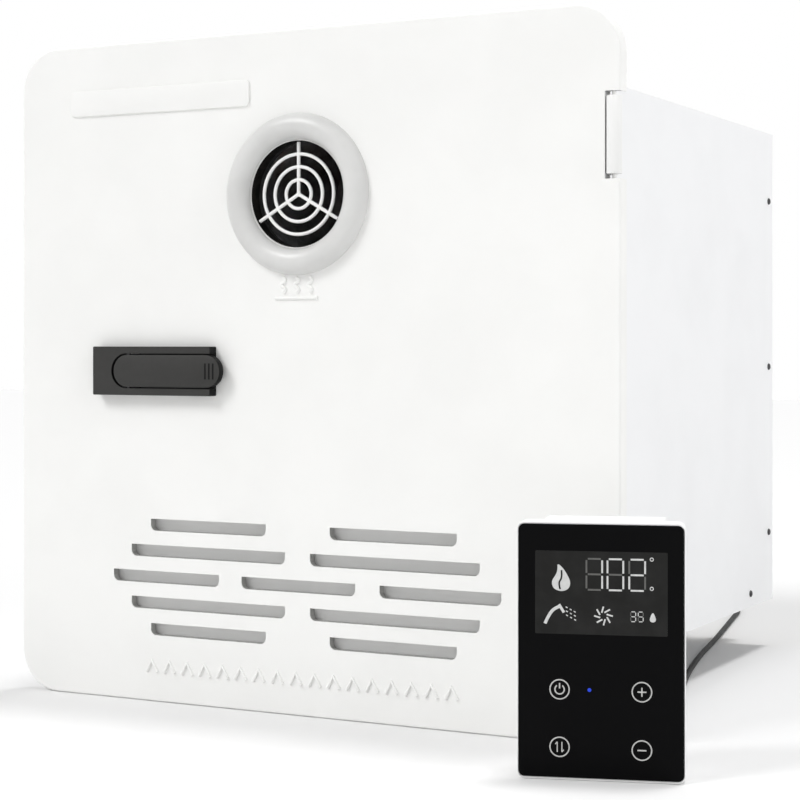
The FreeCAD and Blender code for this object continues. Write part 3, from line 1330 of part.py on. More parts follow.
def stand(item):
    """Put a piece of the touch panel where the panel stands, turned towards the viewer."""
    item.Placement = Placement(Vector(), Rotation(Vector(0, 0, 1), 10))
    move(item, "panel_x", "panel_y", "floor_z")
    return bind(item, **{"Placement.Rotation.Angle": "panel_turn"})


def rounded_slab(name, across, deep, tall, radius):
    """A block with its four front-to-back edges rounded."""
    low, high = across
    body = doc.addObject("PartDesign::Body", name)
    move(body, y=deep[1])
    face = sketch_in(body, name + "_face")
    rectangle(face, low, high, *tall)
    pad(body, face, f"({deep[1]}) - ({deep[0]})")
    round_edges(body, name + "_corners", upright, radius)
    return body


def make_touch_panel():
    """Glass, bezel, circuit board and wall box, in the panel's own upright frame."""
    half = "panel_width / 2"
    glass_half = "glass_width / 2"
    glass_tall = ("panel_border", "panel_border + glass_height")
    sheet = rounded_slab("glass_sheet", (f"-{glass_half}", glass_half), ("0", "glass_thick"), glass_tall,
                         "glass_corner")
    node(stand(group("touch_glass", sheet)))
    frame = rounded_slab("bezel_frame", (f"-{half}", half), ("panel_border / 2", "panel_thick"),
                         ("0", "panel_height"), "panel_corner")
    seat = rounded_slab("bezel_seat", (f"-{glass_half}", glass_half), ("-1", "glass_thick"), glass_tall,
                        "glass_corner")
    room = slab("bezel_room", (f"-{half} + 2 * panel_wall", f"{half} - 2 * panel_wall"),
                ("glass_thick - 0.5", "panel_thick - panel_wall"), ("2 * panel_wall",
                                                                    "panel_height - 2 * panel_wall"))
    wire_hole = rod("bezel_wire_hole", "Y", ("panel_thick - panel_wall - 1", "panel_thick + 1"),
                    ("0", "panel_height / 2"), "8")
    node(stand(cut("touch_bezel", frame, seat, room, wire_hole)))
    board = slab("touch_board_sheet", (f"-{half} + 3 * panel_wall", f"{half} - 3 * panel_wall"),
                 ("glass_thick + 2", "glass_thick + 2 + board_thick"),
                 ("3 * panel_wall", "panel_height - 3 * panel_wall"))
    buzzer = rod("touch_buzzer", "Y", ("glass_thick + 2", "glass_thick + 7"), ("-18", "22"), "6")
    node(stand(fuse("touch_board", board, buzzer)))
    box_half = "box_width / 2"
    outside = slab("box_block", (f"-{box_half}", box_half), ("panel_thick", "box_back"), ("0", "box_height"))
    inside = slab("box_room", (f"-{box_half} + box_wall", f"{box_half} - box_wall"),
                  ("panel_thick - 1", "box_back - box_wall"), ("box_wall", "box_height - box_wall"))
    node(stand(cut("touch_wall_box", outside, inside)))


def lead_exit():
    """Where the cable leaves the wall box, and the direction that it leaves in."""
    turn = math.radians(sizes.panel_turn)
    along = Vector(math.cos(turn), math.sin(turn), 0)
    back = Vector(-math.sin(turn), math.cos(turn), 0)
    foot = Vector(sizes.panel_x, sizes.panel_y, places.floor_z + sizes.lead_above)
    return foot + along * sizes.lead_side + back * places.box_back, back


def even_radii(points):
    """The radius of each bend in a cable: as large as the two runs beside it allow."""
    radii = []
    for before, corner, after in zip(points, points[1:], points[2:]):
        arrive = corner - before
        leave = after - corner
        turn = arrive.getAngle(leave)
        radii.append(0.45 * min(arrive.Length, leave.Length) / math.tan(turn / 2))
    return radii


def cable_tube(name, points):
    """A loose stretch of cable, with its bend radii and volume set against its length."""
    radii = even_radii(points)
    path = bent_path(points, radii)
    solid = round_sweep(path, places.cable_radius)
    expected = math.pi * places.cable_radius ** 2 * path.Length
    print(name, "bend radii", [round(radius, 1) for radius in radii])
    print(name, "length", round(path.Length, 1), "volume against section times length",
          round(solid.Volume / expected, 4))
    node(feature(name, solid))


def winding_point(turn):
    """The cable's centre at an angle through the winding, in radians from its start."""
    per_layer = 2 * math.pi * sizes.winding_turns
    layer = min(int(turn / per_layer), int(sizes.winding_layers) - 1)
    share = turn / per_layer - layer
    inward = share if layer % 2 == 0 else 1 - share
    radius = places.winding_outer - inward * (places.winding_outer - sizes.winding_inner)
    climbed = 0.0
    for reversal in range(1, int(sizes.winding_layers)):
        part = (turn - reversal * per_layer + math.pi / 2) / math.pi
        part = min(max(part, 0.0), 1.0)
        climbed += part * part * (3 - 2 * part)
    angle = math.pi / 2 + turn
    return Vector(
        sizes.winding_x + radius * math.cos(angle),
        places.winding_y + radius * math.sin(angle),
        places.winding_low + climbed * places.winding_pitch,
    )


def arc_from(start, along, end):
    """The arc that leaves a point in a given direction and reaches another point."""
    chord = end - start
    heading = Vector(chord).normalize()
    half_turn = along.getAngle(heading)
    toward = (along + heading).normalize()
    middle = start + toward * (chord.Length / (2 * math.cos(half_turn / 2)))
    return Part.Arc(start, middle, end)


def two_arcs(start, leave, end, arrive):
    """Two tangent arcs between two points with given directions."""
    gap = end - start
    both = leave + arrive
    spare = 2 * (1 - leave.dot(arrive))
    reach = (-gap.dot(both) + math.sqrt(gap.dot(both) ** 2 + spare * gap.dot(gap))) / spare
    meet = (start + end + (leave - arrive) * reach) * 0.5
    first = arc_from(start, leave, meet)
    second = arc_from(end, arrive * -1, meet)
    return [first.toShape(), Part.Arc(meet, second.value(middle_of(second)), end).toShape()]


def middle_of(arc):
    """The middle parameter of an arc."""
    return (arc.FirstParameter + arc.LastParameter) / 2


def winding_ends():
    """The straight ends of the winding, one cable diameter long, with their directions."""
    total = 2 * math.pi * sizes.winding_turns * sizes.winding_layers
    return [(Vector(winding_point(0)), Vector(-1, 0, 0)), (Vector(winding_point(total)), Vector(1, 0, 0))]


def make_cable_winding():
    """The spare cable, wound in layers that spiral in and out."""
    total = 2 * math.pi * sizes.winding_turns * sizes.winding_layers
    steps = round(total / (math.pi / 2))
    step = total / steps
    points = [winding_point(number * step) for number in range(steps + 1)]
    small = 0.01
    headings = []
    for number in range(steps + 1):
        before = winding_point(max(number * step - small, 0))
        after = winding_point(min(number * step + small, total))
        headings.append((after - before).normalize())
    (start, inward), (finish, outward) = winding_ends()
    headings[0] = inward
    headings[-1] = outward
    straight = sizes.cable_diameter
    edges = [Part.LineSegment(start - inward * straight, start).toShape()]
    for number in range(steps):
        edges += two_arcs(points[number], headings[number], points[number + 1], headings[number + 1])
    edges.append(Part.LineSegment(finish, finish + outward * straight).toShape())
    path = Part.Wire(edges)
    solid = round_sweep(path, places.cable_radius)
    expected = math.pi * places.cable_radius ** 2 * path.Length
    print("cable_winding length", round(path.Length, 1), "volume against section times length",
          round(solid.Volume / expected, 4), "least self gap", round(least_self_gap(path), 2))
    node(feature("cable_winding", solid))


def least_self_gap(path):
    """The least distance between two turns of a path, less the cable's diameter."""
    spacing = 2.0
    samples = path.discretize(Distance=spacing)
    apart = int(4 * sizes.cable_diameter / spacing)
    least = None
    for number, point in enumerate(samples):
        for other in samples[number + apart:]:
            gap = point.distanceToPoint(other)
            if least is None or gap < least:
                least = gap
    return least - sizes.cable_diameter


def make_cable():
    """The free cable from the touch panel, along the floor to the winding and up to the gland."""
    floor = places.cable_floor
    exit_point, back = lead_exit()
    (start, inward), (finish, outward) = winding_ends()
    straight = sizes.cable_diameter
    cable_tube("cable_front", [
        exit_point,
        exit_point + back * 13,
        Vector(209.5, -11.5, floor + 3.5),
        Vector(207.0, 7.0, floor),
        Vector(202.5, 40.0, floor),
        Vector(186.5, 90.0, floor),
        Vector(168.5, 145.0, floor),
        Vector(153.0, 197.0, floor),
        Vector(140.5, 249.0, floor),
        Vector(130.5, 297.0, floor),
        Vector(122.0, 345.0, floor),
        Vector(110.1, 403.8, floor),
        Vector(98.4, 461.0, floor),
        Vector(89.5, 506.0, floor),
        Vector(76.0, 533.0, floor),
        Vector(53.0, 541.0, floor),
        Vector(33.0, 527.0, floor),
        Vector(25.0, 500.0, floor),
        Vector(19.0, 470.0, floor),
        Vector(7.0, 446.0, floor + 0.3),
        start - inward * (straight + 16),
        start - inward * straight,
    ])
    make_cable_winding()
    mouth = Vector(sizes.gland_x, sizes.case_depth + sizes.gland_length, places.gland_z)
    cable_tube("cable_back", [
        finish + outward * straight,
        finish + outward * (straight + 16),
        Vector(8.0, 377.0, floor + 6.0),
        Vector(30.0, 386.0, floor),
        Vector(50.0, 397.0, floor + 4.0),
        Vector(60.0, 402.0, floor + 22.0),
        mouth + Vector(0.5, 26.0, -18.0),
        mouth + Vector(0, 14.0, 0),
        mouth,
    ])
    reach = "winding_outer + cable_radius + tie_gap"
    near = "winding_inner - cable_radius - tie_gap"
    top = "winding_low + (winding_layers - 1) * winding_pitch + cable_radius + tie_gap"
    wide = ("winding_y - tie_width / 2", "winding_y + tie_width / 2")
    band = slab("tie_block", (f"winding_x + {near} - tie_thick", f"winding_x + {reach} + tie_thick"), wide,
                ("floor_z", f"{top} + tie_thick"))
    room = slab("tie_room", (f"winding_x + {near}", f"winding_x + {reach}"),
                ("winding_y - tie_width", "winding_y + tie_width"), ("floor_z + tie_thick", top))
    node(cut("cable_tie", band, room))


def check_and_write():
    """Check every object and sub-part, then write each sub-part's solids."""
    doc.recompute()
    for item in doc.Objects:
        if "Invalid" in item.State or "Error" in item.State:
            raise ValueError(f"{item.Label} failed to build: {item.State}")
    for item in nodes:
        if item.Shape.isNull() or not item.Shape.isValid() or not item.Shape.Solids:
            raise ValueError(f"{item.Label} has no valid solid")
    os.makedirs("parts", exist_ok=True)
    for item in nodes:
        item.Shape.exportStep(f"parts/{item.Label}.step")
    print(len(nodes), "sub-parts written")


fill_sheet()
make_door_panel()
make_exhaust_ring()
make_exhaust_grille()
make_rain_baffle()
make_hinges()
make_latch()
make_strike()
make_flange()
case_screws = make_case_screws()
make_case(case_screws)
make_exhaust_path()
make_heat_exchanger()
make_burner()
make_fan()
make_gas_train()
make_water_train()
make_controls()
make_touch_panel()
make_cable()
check_and_write()
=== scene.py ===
import math

import bmesh
import bpy
from mathutils import Matrix, Vector
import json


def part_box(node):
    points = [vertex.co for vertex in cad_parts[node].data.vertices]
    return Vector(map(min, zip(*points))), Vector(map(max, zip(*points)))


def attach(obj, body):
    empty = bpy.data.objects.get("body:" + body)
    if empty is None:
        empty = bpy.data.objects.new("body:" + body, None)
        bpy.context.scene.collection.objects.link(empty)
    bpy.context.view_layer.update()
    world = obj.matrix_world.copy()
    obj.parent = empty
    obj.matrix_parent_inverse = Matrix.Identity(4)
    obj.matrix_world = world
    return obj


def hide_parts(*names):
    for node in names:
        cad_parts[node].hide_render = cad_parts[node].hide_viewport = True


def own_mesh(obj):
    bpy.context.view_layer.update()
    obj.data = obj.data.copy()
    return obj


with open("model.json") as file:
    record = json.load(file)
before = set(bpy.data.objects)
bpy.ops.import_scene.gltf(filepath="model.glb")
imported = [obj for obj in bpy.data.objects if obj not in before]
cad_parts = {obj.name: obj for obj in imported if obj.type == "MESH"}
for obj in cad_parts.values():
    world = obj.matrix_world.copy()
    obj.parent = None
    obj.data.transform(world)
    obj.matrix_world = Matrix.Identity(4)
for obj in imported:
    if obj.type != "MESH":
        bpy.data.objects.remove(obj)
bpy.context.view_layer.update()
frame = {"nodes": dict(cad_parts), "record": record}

# Sizes and places are in millimetres until a helper turns them into metres.
MM = 0.001
SHARP_EDGE = 35
SHARP_ON_WIRE = 60
FACING_FRONT = (math.pi / 2, 0, 0)


def box_mm(node):
    """The lowest and highest corners of a node, in millimetres."""
    low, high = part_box(node)
    return Vector(low) / MM, Vector(high) / MM


# Helpers that work as by hand

def only(piece):
    """Select one piece and nothing else."""
    bpy.ops.object.select_all(action="DESELECT")
    piece.select_set(True)
    bpy.context.view_layer.objects.active = piece
    return piece


def settle(name):
    """Name the piece just added and put its place, turn and size into its mesh."""
    piece = bpy.context.object
    piece.name = name
    piece.data.name = name
    only(piece)
    bpy.ops.object.transform_apply(location=True, rotation=True, scale=True)
    return piece


def smooth(piece, angle=SHARP_EDGE):
    """Shade smooth, with edges sharper than an angle in degrees kept."""
    only(piece)
    bpy.ops.object.shade_smooth_by_angle(angle=math.radians(angle))
    return piece


def apply_modifier(piece, modifier):
    """Apply a modifier to its piece."""
    only(piece)
    bpy.ops.object.modifier_apply(modifier=modifier.name)
    return piece


def round_off(piece, width, steps=3):
    """Round every sharp edge of a piece."""
    modifier = piece.modifiers.new("edge", "BEVEL")
    modifier.width = width * MM
    modifier.segments = steps
    modifier.limit_method = "ANGLE"
    modifier.angle_limit = math.radians(SHARP_EDGE)
    modifier.use_clamp_overlap = True
    apply_modifier(piece, modifier)
    return smooth(piece)


def block(name, low, high):
    """A block between two corners."""
    bpy.ops.object.select_all(action="DESELECT")
    middle = [(a + b) / 2 * MM for a, b in zip(low, high)]
    bpy.ops.mesh.primitive_cube_add(size=1, location=middle)
    bpy.context.object.scale = [(b - a) * MM for a, b in zip(low, high)]
    return settle(name)


def rod(name, radius, start, end, edge=0.0, sides=48):
    """A round bar between two points."""
    bpy.ops.object.select_all(action="DESELECT")
    start, end = Vector(start) * MM, Vector(end) * MM
    bpy.ops.mesh.primitive_cylinder_add(
        vertices=sides, radius=radius * MM, depth=(end - start).length, location=(start + end) / 2,
        rotation=(end - start).to_track_quat("Z", "Y").to_euler(),
    )
    piece = settle(name)
    return round_off(piece, edge) if edge else smooth(piece)


def ring(name, middle, radius, wire, sides=96, wire_sides=14):
    """A ring of round wire, facing the front."""
    bpy.ops.object.select_all(action="DESELECT")
    bpy.ops.mesh.primitive_torus_add(
        major_segments=sides, minor_segments=wire_sides, major_radius=radius * MM,
        minor_radius=wire * MM, location=Vector(middle) * MM, rotation=FACING_FRONT,
    )
    return smooth(settle(name), SHARP_ON_WIRE)


def ball(name, middle, radius, squash=(1, 1, 1)):
    """A small rounded lump."""
    bpy.ops.object.select_all(action="DESELECT")
    bpy.ops.mesh.primitive_uv_sphere_add(
        segments=20, ring_count=12, radius=radius * MM, location=Vector(middle) * MM,
    )
    bpy.context.object.scale = squash
    return smooth(settle(name), SHARP_ON_WIRE)


def open_edit(piece, wanted, kind):
    """Open a mesh for editing with only the edges or corners selected that a test picks."""
    only(piece)
    bpy.ops.object.mode_set(mode="EDIT")
    bpy.ops.mesh.select_mode(type=kind)
    bpy.ops.mesh.select_all(action="DESELECT")
    mesh = bmesh.from_edit_mesh(piece.data)
    for item in {"EDGE": mesh.edges, "VERT": mesh.verts}[kind]:
        item.select_set(bool(wanted(item)))
    mesh.select_flush_mode()
    bmesh.update_edit_mesh(piece.data)


def close_edit():
    """Leave edit mode."""
    bpy.ops.object.mode_set(mode="OBJECT")


def turned(name, middle, profile, sides):
    """A piece turned about a line along Y: each radius and depth of the closed profile is one loop."""
    middle = Vector(middle) * MM
    bpy.ops.object.select_all(action="DESELECT")
    bpy.ops.mesh.primitive_circle_add(
        vertices=sides, radius=profile[0][0] * MM, fill_type="NOTHING",
        location=(middle.x, middle.y + profile[0][1] * MM, middle.z), rotation=FACING_FRONT,
    )
    piece = settle(name)
    open_edit(piece, lambda vert: True, "VERT")
    for (radius, depth), (next_radius, next_depth) in zip(profile, profile[1:]):
        bpy.ops.mesh.extrude_region_move(
            TRANSFORM_OT_translate={"value": (0, (next_depth - depth) * MM, 0)})
        share = next_radius / radius
        bpy.ops.transform.resize(value=(share, 1, share), center_override=middle)
    bpy.ops.mesh.select_all(action="SELECT")
    bpy.ops.mesh.remove_doubles(threshold=0.01 * MM)
    bpy.ops.mesh.normals_make_consistent(inside=False)
    close_edit()
    return smooth(piece)


def arc(middle_radius, middle_depth, across, deep, start, end, steps):
    """Points of a profile along part of an oval, between two angles in degrees."""
    points = []
    for step in range(steps + 1):
        angle = math.radians(start + (end - start) * step / steps)
        points.append((middle_radius + across * math.cos(angle), middle_depth + deep * math.sin(angle)))
    return points


def cut_away(piece, *tools):
    """Cut tools out of a piece and throw the tools away."""
    for tool in tools:
        modifier = piece.modifiers.new("cut", "BOOLEAN")
        modifier.operation = "DIFFERENCE"
        modifier.solver = "EXACT"
        modifier.object = tool
        apply_modifier(piece, modifier)
        bpy.data.objects.remove(tool)
    return piece


def joined(name, *pieces):
    """Join pieces into one."""
    bpy.ops.object.select_all(action="DESELECT")
    for piece in pieces:
        piece.select_set(True)
    bpy.context.view_layer.objects.active = pieces[0]
    bpy.ops.object.join()
    whole = bpy.context.object
    whole.name = name
    whole.data.name = name
    return whole


def copied(piece, name, matrix):
    """A copy of a piece with its own mesh, moved by a matrix in metres."""
    twin = piece.copy()
    twin.data = piece.data.copy()
    twin.name = name
    bpy.context.scene.collection.objects.link(twin)
    twin.data.transform(matrix)
    if matrix.determinant() < 0:
        twin.data.flip_normals()
    return twin


def stroke(name, points, width, flat=1.0, kind="POLY"):
    """A line of round section through points, as wide as given and flattened front to back."""
    curve = bpy.data.curves.new(name, "CURVE")
    curve.dimensions = "3D"
    curve.bevel_depth = width / 2 * MM
    curve.bevel_resolution = 2
    curve.use_fill_caps = True
    line = curve.splines.new(kind)
    line.points.add(len(points) - 1)
    for point, place in zip(line.points, points):
        point.co = (place[0] * MM, 0, place[1] * MM, 1)
    if kind == "NURBS":
        line.order_u = 3
        line.use_endpoint_u = True
        line.resolution_u = 6
    drawn = bpy.data.objects.new(name, curve)
    bpy.context.scene.collection.objects.link(drawn)
    only(drawn)
    bpy.ops.object.convert(target="MESH")
    piece = bpy.context.object
    piece.scale = (1, flat, 1)
    return smooth(settle(name), SHARP_ON_WIRE)


def filled(name, points, thick):
    """A flat shape inside a smooth closed line, with a little thickness."""
    curve = bpy.data.curves.new(name, "CURVE")
    curve.dimensions = "2D"
    curve.fill_mode = "BOTH"
    curve.extrude = thick / 2 * MM
    line = curve.splines.new("NURBS")
    line.points.add(len(points) - 1)
    for point, place in zip(line.points, points):
        point.co = (place[0] * MM, place[1] * MM, 0, 1)
    line.use_cyclic_u = True
    line.order_u = 3
    line.resolution_u = 8
    drawn = bpy.data.objects.new(name, curve)
    bpy.context.scene.collection.objects.link(drawn)
    only(drawn)
    bpy.ops.object.convert(target="MESH")
    bpy.context.object.rotation_euler = FACING_FRONT
    return settle(name)


def plate(name, low, high, corner, edge=0.0):
    """A block with its four front-to-back edges rounded, and the others eased."""
    piece = block(name, low, high)
    open_edit(piece, lambda line: abs((line.verts[0].co - line.verts[1].co).normalized().y) > 0.9, "EDGE")
    bpy.ops.mesh.bevel(offset=corner * MM, segments=6, affect="EDGES")
    close_edit()
    return round_off(piece, edge) if edge else smooth(piece)


def refined(node, name, edge):
    """A copy of a node's shape, its triangles merged into faces and its sharp edges eased."""
    piece = bpy.data.objects.new(name, frame["nodes"][node].data.copy())
    bpy.context.scene.collection.objects.link(piece)
    open_edit(piece, lambda vert: True, "VERT")
    bpy.ops.mesh.remove_doubles(threshold=0.002 * MM)
    bpy.ops.mesh.select_all(action="SELECT")
    bpy.ops.mesh.dissolve_limited(angle_limit=math.radians(0.5))
    close_edit()
    return round_off(piece, edge, 2) if edge else smooth(piece)


def painted_shade_sides(piece, slot):
    """Grained on the front faces, with a smooth, deeper black painted as shade on all others."""
    piece.data.materials.clear()
    piece.data.materials.append(FINISHES[slot])
    piece.data.materials.append(LATCH_PAINTED_SHADE)
    # Faces not turned to the front get the painted shade.
    for face in piece.data.polygons:
        face.material_index = 0 if face.normal.y < -0.8 else 1
    return piece


def shift(piece, y):
    """Move a piece's mesh backwards, or forwards with a minus."""
    piece.data.transform(Matrix.Translation((0, y * MM, 0)))
    return piece


def dress(piece, finish, body, slot, *replaced):
    """Give a piece its finish, the body it rides on and the nodes it stands for."""
    if len(piece.data.materials) < 2:
        piece.data.materials.clear()
        piece.data.materials.append(finish)
    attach(piece, body)
    if replaced:
        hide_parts(*replaced)
    return piece


# Finishes

class Finish:
    """A material whose colour, roughness and relief change with the place on the object."""

    def __init__(self, name, colour, roughness, metallic=0.0, specular=0.5):
        self.material = bpy.data.materials.new(name)
        self.material.use_nodes = True
        self.nodes = self.material.node_tree.nodes
        self.links = self.material.node_tree.links
        self.shader = self.nodes["Principled BSDF"]
        self.shader.inputs["Base Color"].default_value = (*colour, 1)
        self.shader.inputs["Roughness"].default_value = roughness
        self.shader.inputs["Metallic"].default_value = metallic
        self.shader.inputs["Specular IOR Level"].default_value = specular
        self.colour = colour
        self.roughness = roughness
        self.places = self.nodes.new("ShaderNodeTexCoord").outputs["Object"]
        self.normal = None

    def noise(self, size, detail=3.0, stretch=(1, 1, 1), kind="Noise"):
        """A pattern whose features are about a given size in millimetres."""
        mapping = self.nodes.new("ShaderNodeMapping")
        mapping.inputs["Scale"].default_value = [1 / value for value in stretch]
        self.links.new(self.places, mapping.inputs["Vector"])
        if kind == "Voronoi":
            pattern = self.nodes.new("ShaderNodeTexVoronoi")
            out = pattern.outputs["Color"]
        else:
            pattern = self.nodes.new("ShaderNodeTexNoise")
            pattern.inputs["Detail"].default_value = detail
            out = pattern.outputs["Fac"]
        pattern.inputs["Scale"].default_value = 1 / (size * MM)
        self.links.new(mapping.outputs["Vector"], pattern.inputs["Vector"])
        return out

    def between(self, pattern, low, high, start=0.35, end=0.65):
        """Carry a pattern over to a range of numbers."""
        scale = self.nodes.new("ShaderNodeMapRange")
        scale.inputs["From Min"].default_value = start
        scale.inputs["From Max"].default_value = end
        scale.inputs["To Min"].default_value = low
        scale.inputs["To Max"].default_value = high
        self.links.new(pattern, scale.inputs["Value"])
        return scale.outputs["Result"]

    def tint(self, other, size, start=0.4, end=0.65, **pattern):
        """Change the colour towards another in patches."""
        mix = self.nodes.new("ShaderNodeMix")
        mix.data_type = "RGBA"
        mix.inputs["A"].default_value = (*self.colour, 1)
        mix.inputs["B"].default_value = (*other, 1)
        self.links.new(self.between(self.noise(size, **pattern), 0, 1, start, end), mix.inputs["Factor"])
        self.links.new(mix.outputs["Result"], self.shader.inputs["Base Color"])
        return self

    def polish(self, other, size, **pattern):
        """Change the roughness towards another in patches."""
        value = self.between(self.noise(size, **pattern), self.roughness, other)
        self.links.new(value, self.shader.inputs["Roughness"])
        return self

    def relief(self, size, depth, strength=1.0, **pattern):
        """Raise and lower the surface by a depth in millimetres."""
        bump = self.nodes.new("ShaderNodeBump")
        bump.inputs["Distance"].default_value = depth * MM
        bump.inputs["Strength"].default_value = strength
        self.links.new(self.noise(size, **pattern), bump.inputs["Height"])
        if self.normal:
            self.links.new(self.normal, bump.inputs["Normal"])
        self.normal = bump.outputs["Normal"]
        self.links.new(self.normal, self.shader.inputs["Normal"])
        return self


def powder_coat(name, colour, roughness=0.42):
    """Satin powder coat: faint orange peel and slightly uneven gloss."""
    worn = tuple(value * 0.975 for value in colour)
    return Finish(name, colour, roughness, specular=0.35).tint(worn, 60).polish(
        roughness + 0.08, 9).relief(0.9, 0.012, 0.5).material


def moulded(name, colour, roughness=0.4, grain=0.35, depth=0.01, specular=0.4):
    """Moulded plastic with a fine spark-eroded grain."""
    darker = tuple(value * 0.93 for value in colour)
    return Finish(name, colour, roughness, specular=specular).tint(darker, 25).polish(
        roughness + 0.1, 3).relief(grain, depth, 0.5).material


def sheet_metal(name, colour, roughness, stretch, grain=0.5, depth=0.006):
    """Rolled or brushed metal with fine lines along one direction."""
    duller = tuple(value * 0.82 for value in colour)
    return Finish(name, colour, roughness, metallic=1.0).tint(duller, 18, stretch=stretch).polish(
        roughness + 0.15, grain * 3, stretch=stretch).relief(grain, depth, 0.6, stretch=stretch).material


def zinc(name, colour):
    """Galvanised sheet with its spangle."""
    finish = Finish(name, colour, 0.38, metallic=1.0)
    finish.tint(tuple(value * 0.8 for value in colour), 7, start=0.2, end=0.8, kind="Voronoi")
    return finish.polish(0.55, 5, kind="Voronoi").relief(0.6, 0.006, 0.4).material


FINISHES = {
    "door_white": powder_coat("door_powder_coat", (0.905, 0.905, 0.89)),
    "case_white": powder_coat("case_coated_sheet", (0.895, 0.9, 0.91), 0.38),
    "flange_white": powder_coat("flange_coated_sheet", (0.88, 0.88, 0.87)),
    "bezel_plastic": moulded("bezel_moulding", (0.69, 0.69, 0.68), 0.28, 0.8, 0.006),
    "grille_white": powder_coat("grille_wire_coat", (0.9, 0.9, 0.89), 0.35),
    "baffle_grey": powder_coat("baffle_coat", (0.88, 0.88, 0.87), 0.5),
    "latch_black": moulded("latch_moulding", (0.036, 0.0355, 0.034), 0.5, 0.45, 0.018, 0.25),
    "spring_steel": sheet_metal("spring_steel_wire", (0.62, 0.62, 0.61), 0.25, (6, 1, 1)),
    "galvanised": zinc("zinc_spangle", (0.66, 0.67, 0.68)),
    "seal_foam": Finish("closed_cell_foam", (0.035, 0.035, 0.036), 0.85, specular=0.2).tint(
        (0.06, 0.06, 0.06), 4).relief(0.7, 0.15, 0.8).material,
    "screw_black": Finish("black_oxide", (0.03, 0.03, 0.032), 0.38, specular=0.5).polish(
        0.55, 1.2).relief(0.25, 0.006, 0.5).material,
    "stainless": sheet_metal("brushed_stainless", (0.64, 0.63, 0.61), 0.28, (14, 1, 1)),
    "copper": Finish("tarnished_copper", (0.72, 0.38, 0.24), 0.3, metallic=1.0).tint(
        (0.42, 0.2, 0.13), 22).polish(0.5, 6).relief(0.8, 0.008, 0.5).material,
    "cast_aluminium": Finish("cast_aluminium_skin", (0.62, 0.63, 0.64), 0.5, metallic=1.0).tint(
        (0.5, 0.5, 0.51), 6).relief(0.8, 0.05, 0.7).material,
    "ceramic": Finish("unglazed_ceramic", (0.86, 0.84, 0.78), 0.7).tint((0.76, 0.74, 0.68), 3).relief(
        0.4, 0.02, 0.6).material,
    "motor_black": powder_coat("motor_coat", (0.06, 0.06, 0.065), 0.35),
    "brass": Finish("machined_brass", (0.74, 0.56, 0.3), 0.26, metallic=1.0).tint(
        (0.56, 0.4, 0.2), 9).polish(0.42, 2, stretch=(1, 8, 1)).relief(0.3, 0.006, 0.5).material,
    "fan_black": moulded("black_nylon", (0.035, 0.035, 0.037), 0.5, 0.5, 0.015),
    "turbine_white": moulded("white_acetal", (0.8, 0.8, 0.78), 0.35),
    "control_grey": moulded("grey_moulding", (0.3, 0.31, 0.32), 0.5, 0.6, 0.02),
    "board_green": Finish("solder_mask", (0.02, 0.16, 0.07), 0.25, specular=0.5).tint(
        (0.03, 0.23, 0.1), 1.6, start=0.47, end=0.53).relief(1.6, 0.03, 0.5).material,
    "panel_white": moulded("panel_moulding", (0.88, 0.88, 0.88), 0.3, 0.6, 0.006),
    "cable_black": Finish("cable_sheath", (0.012, 0.012, 0.012), 0.6, specular=0.15).tint(
        (0.035, 0.035, 0.035), 12).relief(0.5, 0.01, 0.5).material,
    "tie_black": moulded("tie_nylon", (0.03, 0.03, 0.03), 0.4, 0.5, 0.01),
}


def black_glass():
    """Polished black glass with the faintest unevenness."""
    finish = Finish("panel_black_glass", (0.003, 0.003, 0.0033), 0.06, specular=0.04)
    return finish.polish(0.1, 30).relief(40, 0.02, 0.15).material


def clear_glass():
    """The sight glass: clear, with a slight green tint."""
    finish = Finish("sight_glass_clear", (0.92, 0.96, 0.94), 0.04)
    finish.shader.inputs["Transmission Weight"].default_value = 0.9
    return finish.polish(0.1, 8).relief(5, 0.01, 0.3).material


def glowing(name, colour, glow, strength):
    """A printed or lit mark on the glass."""
    finish = Finish(name, colour, 0.4, specular=0.1)
    finish.shader.inputs["Emission Color"].default_value = (*glow, 1)
    finish.shader.inputs["Emission Strength"].default_value = strength
    return finish.tint(tuple(value * 0.9 for value in colour), 2).material


# Near-black for the exhaust's sleeve and spoke sockets: painted shade for the dark inside of the throat.
THROAT_PAINTED_SHADE = Finish("throat_painted_shade", (0.008, 0.008, 0.008), 0.8, specular=0.1).tint(
    (0.02, 0.018, 0.016), 4).relief(0.6, 0.02, 0.5).material
# A deeper black that paints shade on the latch's side and end faces; the grip lines take it too.
LATCH_PAINTED_SHADE = Finish("latch_side_painted_shade", (0.006, 0.006, 0.006), 0.5, specular=0.12).polish(0.6, 3).material
DISPLAY_DARK = Finish("display_dark", (0.0175, 0.0175, 0.017), 0.3, specular=0.05).tint(
    (0.023, 0.023, 0.0225), 12).material
FIGURE_LIT = glowing("figure_lit", (0.55, 0.55, 0.54), (0.9, 0.95, 1.0), 0.1)
FIGURE_UNLIT = glowing("figure_unlit", (0.13, 0.13, 0.125), (1, 1, 1), 0.0)
KEY_PRINT = glowing("key_print", (0.5, 0.5, 0.49), (1, 1, 1), 0.04)
LAMP_BLUE = glowing("lamp_blue", (0.02, 0.05, 0.4), (0.03, 0.08, 1.0), 0.35)
# Grey for the pressed rims behind the rain slots: painted shade, as the rims are door-white sheet lying in
# the slots' shade.
RIM_PAINTED_SHADE = powder_coat("rim_painted_shade", (0.42, 0.42, 0.41), 0.5)
FINISHES["panel_glass"] = black_glass()
FINISHES["sight_glass"] = clear_glass()

# The camera stands in front of the door and to its right, level with the door's middle.
camera_data = bpy.data.cameras.new("camera")
camera_data.sensor_width = 36
camera_data.lens = 87.78
camera_data.shift_y = -0.0705
camera_data.clip_end = 30
camera = bpy.data.objects.new("camera", camera_data)
camera.location = (0.5490, -0.9439, 0.0157)
camera.rotation_euler = (math.radians(90), 0, math.radians(27.47))
bpy.context.scene.collection.objects.link(camera)
bpy.context.scene.camera = camera


# Cable

